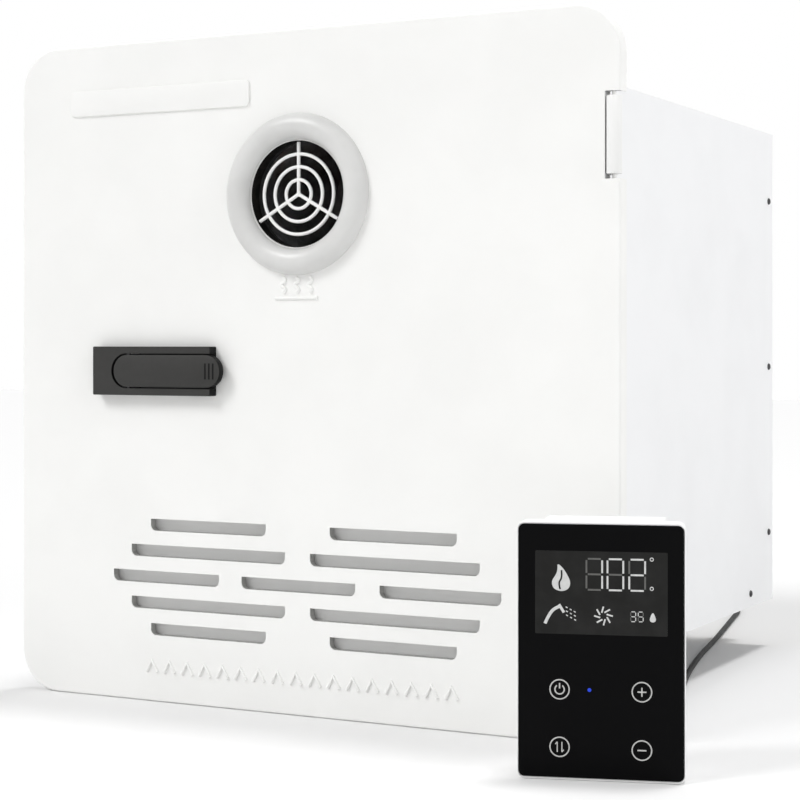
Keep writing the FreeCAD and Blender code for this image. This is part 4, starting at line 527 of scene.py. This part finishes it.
CABLE = 3.5
FLOOR = box_mm("door_panel")[0].z
CABLE_FLOOR = FLOOR + CABLE / 2
WINDING_MIDDLE = (-34.0, 404.0)
WINDING_INNER = 14.0
WINDING_PITCH = 3.95
WINDING_TURNS = 3.625
WINDING_LAYERS = 4
WINDING_LOW = FLOOR + 2.85
POINTS_A_TURN = 16
STRAIGHT_END = 16.0
GLAND_MOUTH = Vector((60.0, 372.0, -125.0))
PANEL_FOOT = Vector((209.1, -85.5, FLOOR))
PANEL_TURN = math.radians(16.8)
PANEL_EXIT = Vector((20, 41, 10.5))
EXIT_RUN = 13.0


def winding_point(turn):
    """The cable's centre at an angle through the winding, in radians from its start."""
    per_layer = 2 * math.pi * WINDING_TURNS
    layer = min(int(turn / per_layer), WINDING_LAYERS - 1)
    share = turn / per_layer - layer
    inward = share if layer % 2 == 0 else 1 - share
    outer = WINDING_INNER + WINDING_TURNS * WINDING_PITCH
    radius = outer - inward * (outer - WINDING_INNER)
    climbed = 0.0
    for reversal in range(1, WINDING_LAYERS):
        part = (turn - reversal * per_layer + math.pi / 2) / math.pi
        part = min(max(part, 0.0), 1.0)
        climbed += part * part * (3 - 2 * part)
    angle = math.pi / 2 + turn
    return (WINDING_MIDDLE[0] + radius * math.cos(angle), WINDING_MIDDLE[1] + radius * math.sin(angle),
            WINDING_LOW + climbed * WINDING_PITCH)


def panel_place(point):
    """A point of the touch panel's own frame, in the object's frame."""
    return PANEL_FOOT + Matrix.Rotation(PANEL_TURN, 3, "Z") @ point


def make_cable():
    """One smooth line from the touch panel, along the floor, through the winding to the gland."""
    leave = panel_place(PANEL_EXIT)
    behind = panel_place(PANEL_EXIT + Vector((0, EXIT_RUN, 0)))
    route = [tuple(leave), tuple(behind)]
    route += [
        (209.5, -11.5, CABLE_FLOOR + 3.5), (207.0, 7.0, CABLE_FLOOR), (202.5, 40.0, CABLE_FLOOR),
        (186.5, 90.0, CABLE_FLOOR), (168.5, 145.0, CABLE_FLOOR), (153.0, 197.0, CABLE_FLOOR),
        (140.5, 249.0, CABLE_FLOOR), (130.5, 297.0, CABLE_FLOOR), (122.0, 345.0, CABLE_FLOOR),
        (110.1, 403.8, CABLE_FLOOR), (98.4, 461.0, CABLE_FLOOR), (89.5, 506.0, CABLE_FLOOR),
        (76.0, 533.0, CABLE_FLOOR), (53.0, 541.0, CABLE_FLOOR), (33.0, 527.0, CABLE_FLOOR),
        (25.0, 500.0, CABLE_FLOOR), (19.0, 470.0, CABLE_FLOOR), (7.0, 446.0, CABLE_FLOOR + 0.3),
    ]
    total = 2 * math.pi * WINDING_TURNS * WINDING_LAYERS
    start = winding_point(0)
    finish = winding_point(total)
    route += [(start[0] + CABLE + STRAIGHT_END, *start[1:]), (start[0] + CABLE, *start[1:])]
    steps = round(WINDING_TURNS * WINDING_LAYERS * POINTS_A_TURN)
    widen = 1 / math.cos(math.pi / POINTS_A_TURN) ** 0.5
    for step in range(steps + 1):
        x, y, z = winding_point(total * step / steps)
        route.append((WINDING_MIDDLE[0] + (x - WINDING_MIDDLE[0]) * widen,
                      WINDING_MIDDLE[1] + (y - WINDING_MIDDLE[1]) * widen, z))
    route += [
        (finish[0] + CABLE, *finish[1:]), (finish[0] + CABLE + STRAIGHT_END, *finish[1:]),
        (8.0, 377.0, CABLE_FLOOR + 6.0), (30.0, 386.0, CABLE_FLOOR), (50.0, 397.0, CABLE_FLOOR + 4.0),
        (60.0, 402.0, CABLE_FLOOR + 22.0), tuple(GLAND_MOUTH + Vector((0.5, 26, -18))),
        tuple(GLAND_MOUTH + Vector((0, 14, 0))), tuple(GLAND_MOUTH),
    ]
    curve = bpy.data.curves.new("cable", "CURVE")
    curve.dimensions = "3D"
    curve.bevel_depth = CABLE / 2 * MM
    curve.bevel_resolution = 4
    curve.use_fill_caps = True
    line = curve.splines.new("NURBS")
    line.points.add(len(route) - 1)
    for point, place in zip(line.points, route):
        point.co = (*(Vector(place) * MM), 1)
    line.order_u = 3
    line.use_endpoint_u = True
    line.resolution_u = 5
    cable = bpy.data.objects.new("cable", curve)
    bpy.context.scene.collection.objects.link(cable)
    curve.materials.append(FINISHES["cable_black"])
    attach(cable, "case")
    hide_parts("cable_front", "cable_winding", "cable_back")
    return cable, leave


cable, cable_exit = make_cable()


# Floor and light

FLOOR_SIZE = 12
FLOOR_GAP = 0.2


def make_floor():
    """A pale floor that is white to the camera where light reaches it and keeps the shadows."""
    bpy.ops.object.select_all(action="DESELECT")
    bpy.ops.mesh.primitive_plane_add(size=FLOOR_SIZE, location=(0, 0, (FLOOR - FLOOR_GAP) * MM))
    floor = settle("floor")
    material = bpy.data.materials.new("pale_floor")
    material.use_nodes = True
    nodes, links = material.node_tree.nodes, material.node_tree.links
    nodes.remove(nodes["Principled BSDF"])
    matt = nodes.new("ShaderNodeBsdfDiffuse")
    matt.inputs["Color"].default_value = (0.8, 0.8, 0.8, 1)
    glow = nodes.new("ShaderNodeEmission")
    glow.inputs["Color"].default_value = (1, 1, 1, 1)
    path = nodes.new("ShaderNodeLightPath")
    seen = nodes.new("ShaderNodeMath")
    seen.operation = "MAXIMUM"
    lift = nodes.new("ShaderNodeMath")
    lift.operation = "MULTIPLY"
    lift.inputs[1].default_value = 0.04
    both = nodes.new("ShaderNodeAddShader")
    links.new(path.outputs["Is Camera Ray"], seen.inputs[0])
    links.new(path.outputs["Is Glossy Ray"], seen.inputs[1])
    links.new(seen.outputs[0], lift.inputs[0])
    links.new(lift.outputs[0], glow.inputs["Strength"])
    links.new(matt.outputs[0], both.inputs[0])
    links.new(glow.outputs[0], both.inputs[1])
    links.new(both.outputs[0], nodes["Material Output"].inputs["Surface"])
    floor.data.materials.append(material)


def make_world():
    """White to the camera and in reflections, and a plain soft light on the object."""
    world = bpy.data.worlds.new("studio")
    bpy.context.scene.world = world
    world.use_nodes = True
    nodes, links = world.node_tree.nodes, world.node_tree.links
    soft = nodes["Background"]
    soft.inputs["Color"].default_value = (1, 1, 1, 1)
    soft.inputs["Strength"].default_value = 0.48
    bright = nodes.new("ShaderNodeBackground")
    bright.inputs["Color"].default_value = (1, 1, 1, 1)
    bright.inputs["Strength"].default_value = 1.0
    path = nodes.new("ShaderNodeLightPath")
    either = nodes.new("ShaderNodeMath")
    either.operation = "MAXIMUM"
    all_three = nodes.new("ShaderNodeMath")
    all_three.operation = "MAXIMUM"
    mix = nodes.new("ShaderNodeMixShader")
    links.new(path.outputs["Is Camera Ray"], either.inputs[0])
    links.new(path.outputs["Is Glossy Ray"], either.inputs[1])
    links.new(either.outputs[0], all_three.inputs[0])
    links.new(path.outputs["Is Transmission Ray"], all_three.inputs[1])
    links.new(all_three.outputs[0], mix.inputs["Fac"])
    links.new(soft.outputs[0], mix.inputs[1])
    links.new(bright.outputs[0], mix.inputs[2])
    links.new(mix.outputs[0], nodes["World Output"].inputs["Surface"])


def make_lamp(name, kind, place, size, power):
    """A soft light that looks at the object's middle: a square in metres or a sun in degrees."""
    lamp = bpy.data.lights.new(name, kind)
    if kind == "SUN":
        lamp.angle = math.radians(size)
    else:
        lamp.size = size
    lamp.energy = power
    holder = bpy.data.objects.new(name, lamp)
    holder.location = place
    holder.rotation_euler = (Vector((0, 0.1, 0)) - Vector(place)).to_track_quat("-Z", "Y").to_euler()
    bpy.context.scene.collection.objects.link(holder)


make_floor()
make_world()
make_lamp("key_light", "SUN", (-1.3, -1.7, 2.0), 24, 1.45)
make_lamp("top_light", "SUN", (0.3, 0.65, 3.0), 12, 1.2)
make_lamp("side_light", "AREA", (2.6, -0.3, 1.1), 2.2, 21)
bpy.context.scene.view_settings.view_transform = "Standard"

# What stays as the model gives it takes its slot's finish.
NODE_SLOTS = {
    "door_white": ["door_panel"],
    "case_white": ["case_wrapper"],
    "flange_white": ["mounting_flange", "hinge_brackets"],
    "bezel_plastic": ["exhaust_ring"],
    "grille_white": ["exhaust_grille"],
    "baffle_grey": ["rain_baffle"],
    "latch_black": ["latch_base", "latch_lever"],
    "spring_steel": ["hinge_pins", "latch_spring", "strike_clip"],
    "galvanised": ["hinge_leaves", "latch_back_plate", "latch_tongue", "base_pan", "back_panel",
                   "inner_front_panel", "flue_duct"],
    "seal_foam": ["door_seal", "flue_gasket"],
    "screw_black": ["case_screws", "latch_pin"],
    "sight_glass": ["sight_glass"],
    "stainless": ["exhaust_hood", "burner_tray", "burner_bars"],
    "copper": ["combustion_chamber", "exchanger_fins", "exchanger_tube"],
    "cast_aluminium": ["gas_manifold", "gas_valve_body"],
    "ceramic": ["ignition_electrodes"],
    "motor_black": ["fan_motor", "gas_solenoids"],
    "brass": ["gas_inlet", "gas_plunger", "cold_inlet", "hot_outlet", "flow_sensor_body",
              "relief_valve_body", "relief_lever", "drain_plug"],
    "fan_black": ["fan_housing", "fan_impeller", "switch_housing", "switch_rocker", "cable_gland"],
    "turbine_white": ["flow_turbine"],
    "control_grey": ["control_box", "control_cover"],
    "board_green": ["control_board", "touch_board"],
    "panel_glass": ["touch_glass"],
    "panel_white": ["touch_bezel", "touch_wall_box"],
    "cable_black": ["cable_front", "cable_winding", "cable_back"],
    "tie_black": ["cable_tie"],
}
for slot_name, members in NODE_SLOTS.items():
    for member in members:
        material_slots = frame["nodes"][member].data.materials
        material_slots.clear()
        material_slots.append(FINISHES[slot_name])

# Door front

DOOR_FRONT = box_mm("door_panel")[0].y
DOOR_BACK = box_mm("door_panel")[1].y
SPOKE_ANGLES = (90, 210, 330)
SPOKE_LENGTH = 29.4
GRILLE_RINGS = (22.3, 15.2, 8.0)
SOCKET_START = 28.9
SOCKET_RADIUS = 1.35
SLEEVE_WALL = 2.4
LIP_WIRE = 0.4


def on_door(piece, slot, *replaced, finish=None):
    """Dress a piece of the door."""
    return dress(piece, finish or FINISHES[slot], "door", slot, *replaced)


def make_bezel():
    """The exhaust's rolled bezel, the lip in its throat and the sleeve behind it, whose black is painted
    shade.
    """
    low, high = box_mm("exhaust_ring")
    middle = (0, 0, (low.z + high.z) / 2)
    outer = (high.x - low.x) / 2
    rise = DOOR_FRONT - low.y
    roll_middle = outer - rise
    throat = roll_middle - rise
    profile = arc(roll_middle, DOOR_FRONT, rise, -rise, 0, 180, 24)
    profile += [(throat, DOOR_FRONT + 0.05), (outer, DOOR_FRONT + 0.05), profile[0]]
    on_door(turned("exhaust_bezel", middle, profile, 128), "bezel_plastic", "exhaust_ring")
    lip = ring("exhaust_lip", (0, DOOR_FRONT - 0.2, middle[2]), throat - 0.25, LIP_WIRE, sides=128)
    on_door(lip, "bezel_plastic")
    liner = turned("exhaust_sleeve", middle, [
        (throat - 0.05, DOOR_FRONT + 0.1), (throat + SLEEVE_WALL, DOOR_FRONT + 0.1),
        (throat + SLEEVE_WALL, DOOR_BACK), (throat - 0.05, DOOR_BACK), (throat - 0.05, DOOR_FRONT + 0.1),
    ], 128)
    depth = DOOR_FRONT + 1.5
    sockets = [
        rod(f"socket_{angle}", SOCKET_RADIUS, along_spoke(angle, SOCKET_START, depth, middle[2]),
            along_spoke(angle, throat + 1, depth, middle[2]), 0.2, 24)
        for angle in SPOKE_ANGLES
    ]
    # The sleeve and the spoke sockets take the near-black that is painted shade in the throat.
    on_door(joined("exhaust_sleeve", liner, *sockets), "motor_black", finish=THROAT_PAINTED_SHADE)


def along_spoke(angle, radius, depth, height):
    """A point on a spoke of the grille, at a radius from the exhaust's middle."""
    turn = math.radians(angle)
    return (radius * math.cos(turn), depth, height + radius * math.sin(turn))


def make_grille():
    """Three wire rings on three spokes, with a small weld wherever they cross."""
    low, high = box_mm("exhaust_grille")
    depth = (low.y + high.y) / 2
    height = sum(corner.z for corner in box_mm("exhaust_ring")) / 2
    wire = (high.y - low.y) / 2
    parts = [ring(f"wire_ring_{number}", (0, depth, height), radius, wire * 0.97, sides=96)
             for number, radius in enumerate(GRILLE_RINGS)]
    for angle in SPOKE_ANGLES:
        parts.append(rod(f"wire_spoke_{angle}", wire, (0, depth, height),
                         along_spoke(angle, SPOKE_LENGTH, depth, height), 0.2, 20))
        for radius in GRILLE_RINGS:
            parts.append(ball("weld", along_spoke(angle, radius, depth, height), wire * 1.3, (1, 0.8, 1)))
    parts.append(ball("hub", (0, depth, height), wire * 1.5, (1, 0.75, 1)))
    on_door(joined("exhaust_grille_wires", *parts), "grille_white", "exhaust_grille")


SLOT_HEIGHT = 6.9
SLOT_PITCH = 15.05
SLOT_MIDDLE = -118.85
SLOT_CORNER = 3.4
SLOT_RIM = 4.6
SLOT_RIM_WALL = 0.7
SLOT_ENDS = {0: (51.5, 124.0), 1: (8.0, 111.5), 2: (20.5, 98.0)}
MIDDLE_SLOT_END = 36.5


def make_slot_rim(name, left, right, height):
    """The flange pressed inward round one rain slot, its lower corners round."""
    bpy.ops.object.select_all(action="DESELECT")
    bpy.ops.mesh.primitive_plane_add(
        size=1, location=((left + right) / 2 * MM, (DOOR_FRONT + 0.35) * MM, height * MM),
        rotation=FACING_FRONT)
    bpy.context.object.scale = ((right - left) * MM, SLOT_HEIGHT * MM, 1)
    rim = settle(name)
    open_edit(rim, lambda vert: vert.co.z < height * MM, "VERT")
    bpy.ops.mesh.bevel(offset=SLOT_CORNER * MM, segments=8, affect="VERTICES")
    bpy.ops.mesh.select_all(action="SELECT")
    bpy.ops.mesh.delete(type="ONLY_FACE")
    bpy.ops.mesh.select_all(action="SELECT")
    bpy.ops.mesh.extrude_region_move(TRANSFORM_OT_translate={"value": (0, SLOT_RIM * MM, 0)})
    bpy.ops.mesh.select_all(action="SELECT")
    bpy.ops.mesh.normals_make_consistent(inside=False)
    close_edit()
    wall = rim.modifiers.new("wall", "SOLIDIFY")
    wall.thickness = SLOT_RIM_WALL * MM
    wall.offset = 1
    apply_modifier(rim, wall)
    return smooth(rim)


def make_slot_rims():
    """A rim for each of the rain slots, five rows of them."""
    rims = []
    for row in range(-2, 3):
        height = SLOT_MIDDLE + row * SLOT_PITCH
        near, far = SLOT_ENDS[abs(row)]
        spans = [(-far, -near), (near, far)]
        if row == 0:
            spans.append((-MIDDLE_SLOT_END, MIDDLE_SLOT_END))
        rims += [make_slot_rim(f"rim_{row}_{left}", left, right, height) for left, right in spans]
    # The rims are the door's white sheet; their grey is painted shade.
    on_door(joined("rain_slot_rims", *rims), "door_white", finish=RIM_PAINTED_SHADE)


MARK_WIDTH = 2.2
MARK_RISE = 0.2
NAMEPLATE = ((-154, 149), (-31, 164))
NAMEPLATE_RISE = 1.3
WAVE_PITCH = 8.5
CHEVRONS = 17
CHEVRON_PITCH = 12


def make_door_marks():
    """Plain raised marks: a bare nameplate, a heat sign under the exhaust and a row of chevrons."""
    (left, foot), (right, top) = NAMEPLATE
    nameplate = plate("door_nameplate", (left, DOOR_FRONT - NAMEPLATE_RISE, foot),
                      (right, DOOR_FRONT + 0.1, top), 2.5, 0.5)
    on_door(nameplate, "door_white")
    waves = []
    for number in range(3):
        x = -9 + number * WAVE_PITCH
        waves.append(stroke(f"heat_wave_{number}", [
            (x, 44), (x + 2.6, 45.8), (x - 2.6, 48.4), (x + 2.6, 50.6), (x, 52.5)],
            MARK_WIDTH, kind="NURBS"))
    waves.append(stroke("heat_bar", [(-14, 41), (13, 41)], MARK_WIDTH))
    heat = joined("door_heat_sign", *waves)
    on_door(shift(heat, DOOR_FRONT - MARK_RISE), "door_white")
    chevrons = []
    for number in range(CHEVRONS):
        x = -97 + number * CHEVRON_PITCH
        chevrons.append(stroke(f"chevron_{number}", [(x - 3.6, -173.5), (x, -167), (x + 3.6, -173.5)],
                               MARK_WIDTH))
    row = joined("door_chevrons", *chevrons)
    on_door(shift(row, DOOR_FRONT - MARK_RISE), "door_white")


# Latch

LEVER_GAP = 0.8
LEVER_END_GAP = 2.3
LATCH_FLOOR = 1.5
WINDOW_LENGTH = 6.0
GRIP_PITCH = 2.6
GRIP_HALF = 4.5


def make_latch_base():
    """The latch's base: a rounded block with an open-ended channel for the lever."""
    low, high = box_mm("latch_base")
    lever_low, lever_high = box_mm("latch_lever")
    middle = (low.z + high.z) / 2
    half = (lever_high.z - lever_low.z) / 2 + LEVER_GAP
    base = plate("latch_base_shell", (low.x, low.y, low.z), (high.x, DOOR_FRONT, high.z), 0.7)
    floor = DOOR_FRONT - LATCH_FLOOR
    front = low.y - 2
    start = lever_low.x - LEVER_END_GAP + half
    channel = block("channel", (start, front, middle - half), (high.x + 5, floor, middle + half))
    nose = rod("channel_end", half, (start, front, middle), (start, 0, middle), sides=64)
    window = block("window", (start, front, middle - half), (start + WINDOW_LENGTH, 0, middle + half))
    cut_away(base, channel, nose, window)
    round_off(base, 0.7, 2)
    # The side and end faces of the base take the deeper black as painted shade.
    on_door(painted_shade_sides(base, "latch_black"), "latch_black", "latch_base")


def make_latch_lever():
    """The lever's paddle with its eased edge, its tail, and grip lines near its free end."""
    low, high = box_mm("latch_lever")
    # The paddle's side faces take the deeper black as painted shade.
    lever = painted_shade_sides(refined("latch_lever", "latch_paddle", 0.6), "latch_black")
    dress(lever, FINISHES["latch_black"], "lever", "latch_black", "latch_lever")
    lines = []
    for number in range(3):
        x = high.x - 9.5 + number * GRIP_PITCH
        lines.append(stroke(f"grip_{number}", [(x, -GRIP_HALF), (x, GRIP_HALF)], 1.1, flat=0.3))
    grip = joined("latch_grip_lines", *lines)
    # The grip lines take the same deeper black that is painted shade on the sides.
    dress(shift(grip, low.y), LATCH_PAINTED_SHADE, "lever", "latch_black")


def make_latch_spring():
    """The tongue's spring, which on the object shortens towards its held end as the tongue goes in; here
    it is dressed and given a mesh of its own.
    """
    spring = refined("latch_spring", "latch_spring_coil", 0)
    on_door(spring, "spring_steel", "latch_spring")
    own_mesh(spring)


# Case

SCREW_HEAD = 2.2
SCREW_HEAD_THICK = 1.2
RECESS_WIDE = 0.42
RECESS_LONG = 2.6
BACK_SCREW_INSET = 9.4
BACK_SCREW_PITCH = 112.5
BASE_SCREW_HEIGHT = 8.75
BASE_SCREW_DEPTHS = (50, 168, 310)


def make_screws():
    """Pan-head screws with a cross recess, in the places of the plain ones."""
    radius, thick = SCREW_HEAD, SCREW_HEAD_THICK
    head = turned("screw", (0, 0, 0), [
        (0.02, -thick), (radius * 0.6, -thick * 0.96), (radius * 0.88, -thick * 0.7),
        (radius, -thick * 0.3), (radius, 0.2), (0.02, 0.2), (0.02, -thick)], 32)
    wide, long = RECESS_WIDE / 2, RECESS_LONG / 2
    cut_away(head, block("slot", (-long, -thick - 1, -wide), (long, -thick + 0.55, wide)),
             block("slot", (-wide, -thick - 1, -long), (wide, -thick + 0.55, long)))
    low, high = box_mm("case_wrapper")
    half = (high.x - low.x) / 2
    spots = [(high.y - BACK_SCREW_INSET, step * BACK_SCREW_PITCH) for step in (-1, 0, 1)]
    spots += [(depth, -half + BASE_SCREW_HEIGHT) for depth in BASE_SCREW_DEPTHS]
    screws = []
    for number, (depth, up) in enumerate(spots):
        for side in (-1, 1):
            turn = Matrix.Rotation(side * math.pi / 2, 4, "Z") @ Matrix.Rotation(0.4 * number, 4, "Y")
            place = Matrix.Translation(Vector((side * half, depth, up)) * MM)
            screws.append(copied(head, f"screw_{number}_{side}", place @ turn))
    bpy.data.objects.remove(head)
    heads = joined("case_screw_heads", *screws)
    dress(heads, FINISHES["screw_black"], "case", "screw_black", "case_screws")


THREAD_PITCH = 1.8


def make_threads():
    """Thread ridges on the gas and water fittings."""
    for mount in frame["record"]["mounts"]:
        if mount["kind"] != "pin":
            continue
        x, y, z = (value / MM for value in mount["pos_m"])
        radius, length = mount["dims"]["r_mm"], mount["dims"]["length_mm"]
        count = int(length / THREAD_PITCH)
        ridges = [ring(f"ridge_{number}", (x, y + (number - (count - 1) / 2) * THREAD_PITCH, z),
                       radius - 0.1, 0.5, sides=48, wire_sides=8) for number in range(count)]
        dress(joined(mount["name"] + "_ridges", *ridges), FINISHES["brass"], "case", "brass")


def make_eased_nodes():
    """Pieces whose shape the model gives, with their sharp edges eased as on folded or moulded parts."""
    for node, name, slot, body, edge in (
            ("cable_gland", "cable_gland_nut", "fan_black", "case", 0.5),
            ("touch_wall_box", "touch_back_box", "panel_white", "case", 0.9),
            ("touch_bezel", "touch_frame", "panel_white", "case", 0.35),
            ("touch_glass", "touch_face", "panel_glass", "case", 0.3),
            ("hinge_brackets", "hinge_barrels", "flange_white", "case", 0.3),
            ("drain_plug", "drain_plug_hex", "brass", "case", 0.5),
            ("relief_lever", "relief_handle_strip", "brass", "relief_handle", 0.3),
            ("switch_housing", "switch_frame", "fan_black", "case", 0.5),
            ("switch_rocker", "switch_key", "fan_black", "rocker", 0.4),
            ("gas_solenoids", "gas_coils", "motor_black", "case", 1.0),
            ("fan_motor", "fan_motor_can", "motor_black", "case", 1.2)):
        dress(refined(node, name, edge), FINISHES[slot], body, slot, node)


# Touch panel

PANEL_MATRIX = Matrix.Translation(PANEL_FOOT * MM) @ Matrix.Rotation(PANEL_TURN, 4, "Z")
DISPLAY = (-30.9, 69.0, 31.4, 108.3)
SEGMENTS = {"0": "abcdef", "1": "bc", "2": "abdeg", "3": "abcdg", "5": "acdfg"}
# The foot, width, height and line width of a large figure and of a small one.
DIGIT = (90.2, 7.4, 14.6, 0.85)
SMALL_DIGIT = (75.7, 2.3, 4.6, 0.42)
FAN_MIDDLE = (1.4, 78.0)
FAN_BLADES = 8
KEYS = {"power": (-19.3, 42.8), "plus": (19.4, 42.7), "toggle": (-19.3, 15.6), "minus": (19.4, 15.3)}
KEY_RADIUS = 4.55
KEY_LINE = 0.65


def stand(piece, finish, slot):
    """Stand a piece of the touch panel in its place and dress it."""
    piece.data.transform(PANEL_MATRIX)
    return dress(piece, finish, "case", slot)


GLASS_FRONT = min((PANEL_MATRIX.inverted() @ vert.co).y
                  for vert in frame["nodes"]["touch_glass"].data.vertices) / MM


def on_glass(piece, finish, slot="panel_white"):
    """Lay a mark on the glass."""
    return stand(shift(piece, GLASS_FRONT), finish, slot)


def digit(number, left, foot, wide, tall, width):
    """The lit and the unlit bars of one figure."""
    gap = width * 0.75
    middle = foot + tall / 2
    right, top = left + wide, foot + tall
    bars = {
        "a": [(left + gap, top), (right - gap, top)],
        "b": [(right, top - gap), (right, middle + gap)],
        "c": [(right, middle - gap), (right, foot + gap)],
        "d": [(left + gap, foot), (right - gap, foot)],
        "e": [(left, foot + gap), (left, middle - gap)],
        "f": [(left, middle + gap), (left, top - gap)],
        "g": [(left + gap, middle), (right - gap, middle)],
    }
    lit, unlit = [], []
    for name, points in bars.items():
        (lit if name in SEGMENTS[number] else unlit).append(
            stroke(f"bar_{name}", points, width, flat=0.16))
    return lit, unlit


def circle_points(x, z, radius, start=0, end=360, steps=24):
    """Points along part of a circle, its angles in degrees."""
    return [(x + radius * math.cos(math.radians(start + (end - start) * step / steps)),
             z + radius * math.sin(math.radians(start + (end - start) * step / steps)))
            for step in range(steps + 1)]


def make_display():
    """The display window with its figures and pictograms."""
    left, foot, right, top = DISPLAY
    window = plate("display_window", (left, -0.1, foot), (right, 0.3, top), 0.6)
    on_glass(window, DISPLAY_DARK, "panel_glass")
    lit, unlit = [], []
    for number, start in zip("102", (-6.6, 3.3, 13.5)):
        on, off = digit(number, start, *DIGIT)
        lit += on
        unlit += off
    for number, start in zip("35", (14.2, 17.7)):
        on, off = digit(number, start, *SMALL_DIGIT)
        lit += on
        unlit += off
    for height in (105.0, 91.3):
        lit.append(stroke("degree", circle_points(24.0, height, 0.75), 0.4, flat=0.3))
    lit.append(filled("flame", [
        (-18.6, 89.0), (-22.4, 90.4), (-23.2, 94.0), (-21.0, 97.0), (-20.2, 99.4), (-20.4, 102.6),
        (-17.6, 100.2), (-15.6, 97.0), (-14.0, 93.6), (-14.9, 90.2)], 0.12))
    lit.append(filled("drop", [
        (24.5, 75.4), (23.0, 76.1), (23.2, 77.9), (24.5, 80.6), (25.8, 77.9), (26.0, 76.1)], 0.12))
    lit.append(stroke("hand_shower", [(-26.2, 73.8), (-24.6, 77.6), (-21.6, 81.4), (-18.6, 82.2)], 1.5,
                      flat=0.1, kind="NURBS"))
    lit.append(stroke("shower_head", [(-19.6, 83.0), (-17.2, 79.2)], 1.3, flat=0.12))
    for row in range(3):
        for column in range(3):
            x = -16.4 + column * 1.9 + row * 0.1
            z = 81.9 - row * 1.9 - column * 1.0
            lit.append(stroke("spray", [(x, z), (x + 0.9, z - 0.5)], 0.5, flat=0.3))
    x, z = FAN_MIDDLE
    for number in range(FAN_BLADES):
        turn = 2 * math.pi * number / FAN_BLADES
        inner = turn + 0.5
        lit.append(stroke("fan_blade", [
            (x + 1.7 * math.cos(inner), z + 1.7 * math.sin(inner)),
            (x + 4.4 * math.cos(turn), z + 4.4 * math.sin(turn))], 0.75, flat=0.2))
    on_glass(shift(joined("display_figures", *lit), -0.12), FIGURE_LIT)
    on_glass(shift(joined("display_unlit_bars", *unlit), -0.11), FIGURE_UNLIT)
    tongue = stroke("flame_tongue", [(-19.0, 90.2), (-19.9, 93.2), (-18.0, 95.6), (-18.4, 99.2)], 0.8,
                    flat=0.2, kind="NURBS")
    on_glass(shift(tongue, -0.2), DISPLAY_DARK, "panel_glass")


def make_keys():
    """Four ringed touch keys and the blue lamp beside the first."""
    marks = [ring(f"key_ring_{name}", (x, 0.18, z), KEY_RADIUS, 0.36, sides=64, wire_sides=12)
             for name, (x, z) in KEYS.items()]
    x, z = KEYS["power"]
    signs = [stroke("power_arc", circle_points(x, z, 2.2, 125, 415), KEY_LINE, flat=0.2),
             stroke("power_bar", [(x, z + 0.4), (x, z + 3.0)], KEY_LINE, flat=0.2)]
    x, z = KEYS["plus"]
    signs += [stroke("plus_across", [(x - 2.1, z), (x + 2.1, z)], KEY_LINE, flat=0.2),
              stroke("plus_up", [(x, z - 2.1), (x, z + 2.1)], KEY_LINE, flat=0.2)]
    x, z = KEYS["minus"]
    signs.append(stroke("minus_across", [(x - 2.1, z), (x + 2.1, z)], KEY_LINE, flat=0.2))
    x, z = KEYS["toggle"]
    for side in (-1, 1):
        shaft = x + side * 1.1
        signs.append(stroke("toggle_shaft", [(shaft, z - 2.4), (shaft, z + 2.4)], 0.5, flat=0.25))
        signs.append(stroke("toggle_tip", [(shaft + side * 0.9, z - side * 1.3), (shaft, z - side * 2.4)],
                            0.5, flat=0.25))
    marks.append(shift(joined("key_signs", *signs), -0.03))
    on_glass(joined("touch_keys", *marks), KEY_PRINT)
    on_glass(ball("touch_lamp", (-5.2, 0.6, 42.9), 1.1), LAMP_BLUE)


def make_grommet():
    """The tapered, ribbed sleeve where the cable leaves the wall box."""
    low = PANEL_EXIT.y
    bore = CABLE / 2 + 0.03
    profile = [(bore, low - 1), (4.2, low - 1), (4.2, low + 1.2), (3.6, low + 1.6)]
    for number in range(4):
        start = low + 2.2 + number * 2.3
        radius = 3.35 - number * 0.25
        profile += [(radius, start), (radius, start + 1.2), (radius - 0.5, start + 1.45),
                    (radius - 0.5, start + 2.05)]
    profile += [(CABLE / 2 + 0.35, low + 12), (bore, low + 12), (bore, low - 1)]
    grommet = turned("cable_grommet", (PANEL_EXIT.x, 0, PANEL_EXIT.z), profile, 40)
    stand(grommet, FINISHES["cable_black"], "cable_black")


make_bezel()
make_grille()
make_slot_rims()
make_door_marks()
make_latch_base()
make_latch_lever()
make_latch_spring()
make_screws()
make_threads()
make_eased_nodes()
make_display()
make_keys()
make_grommet()
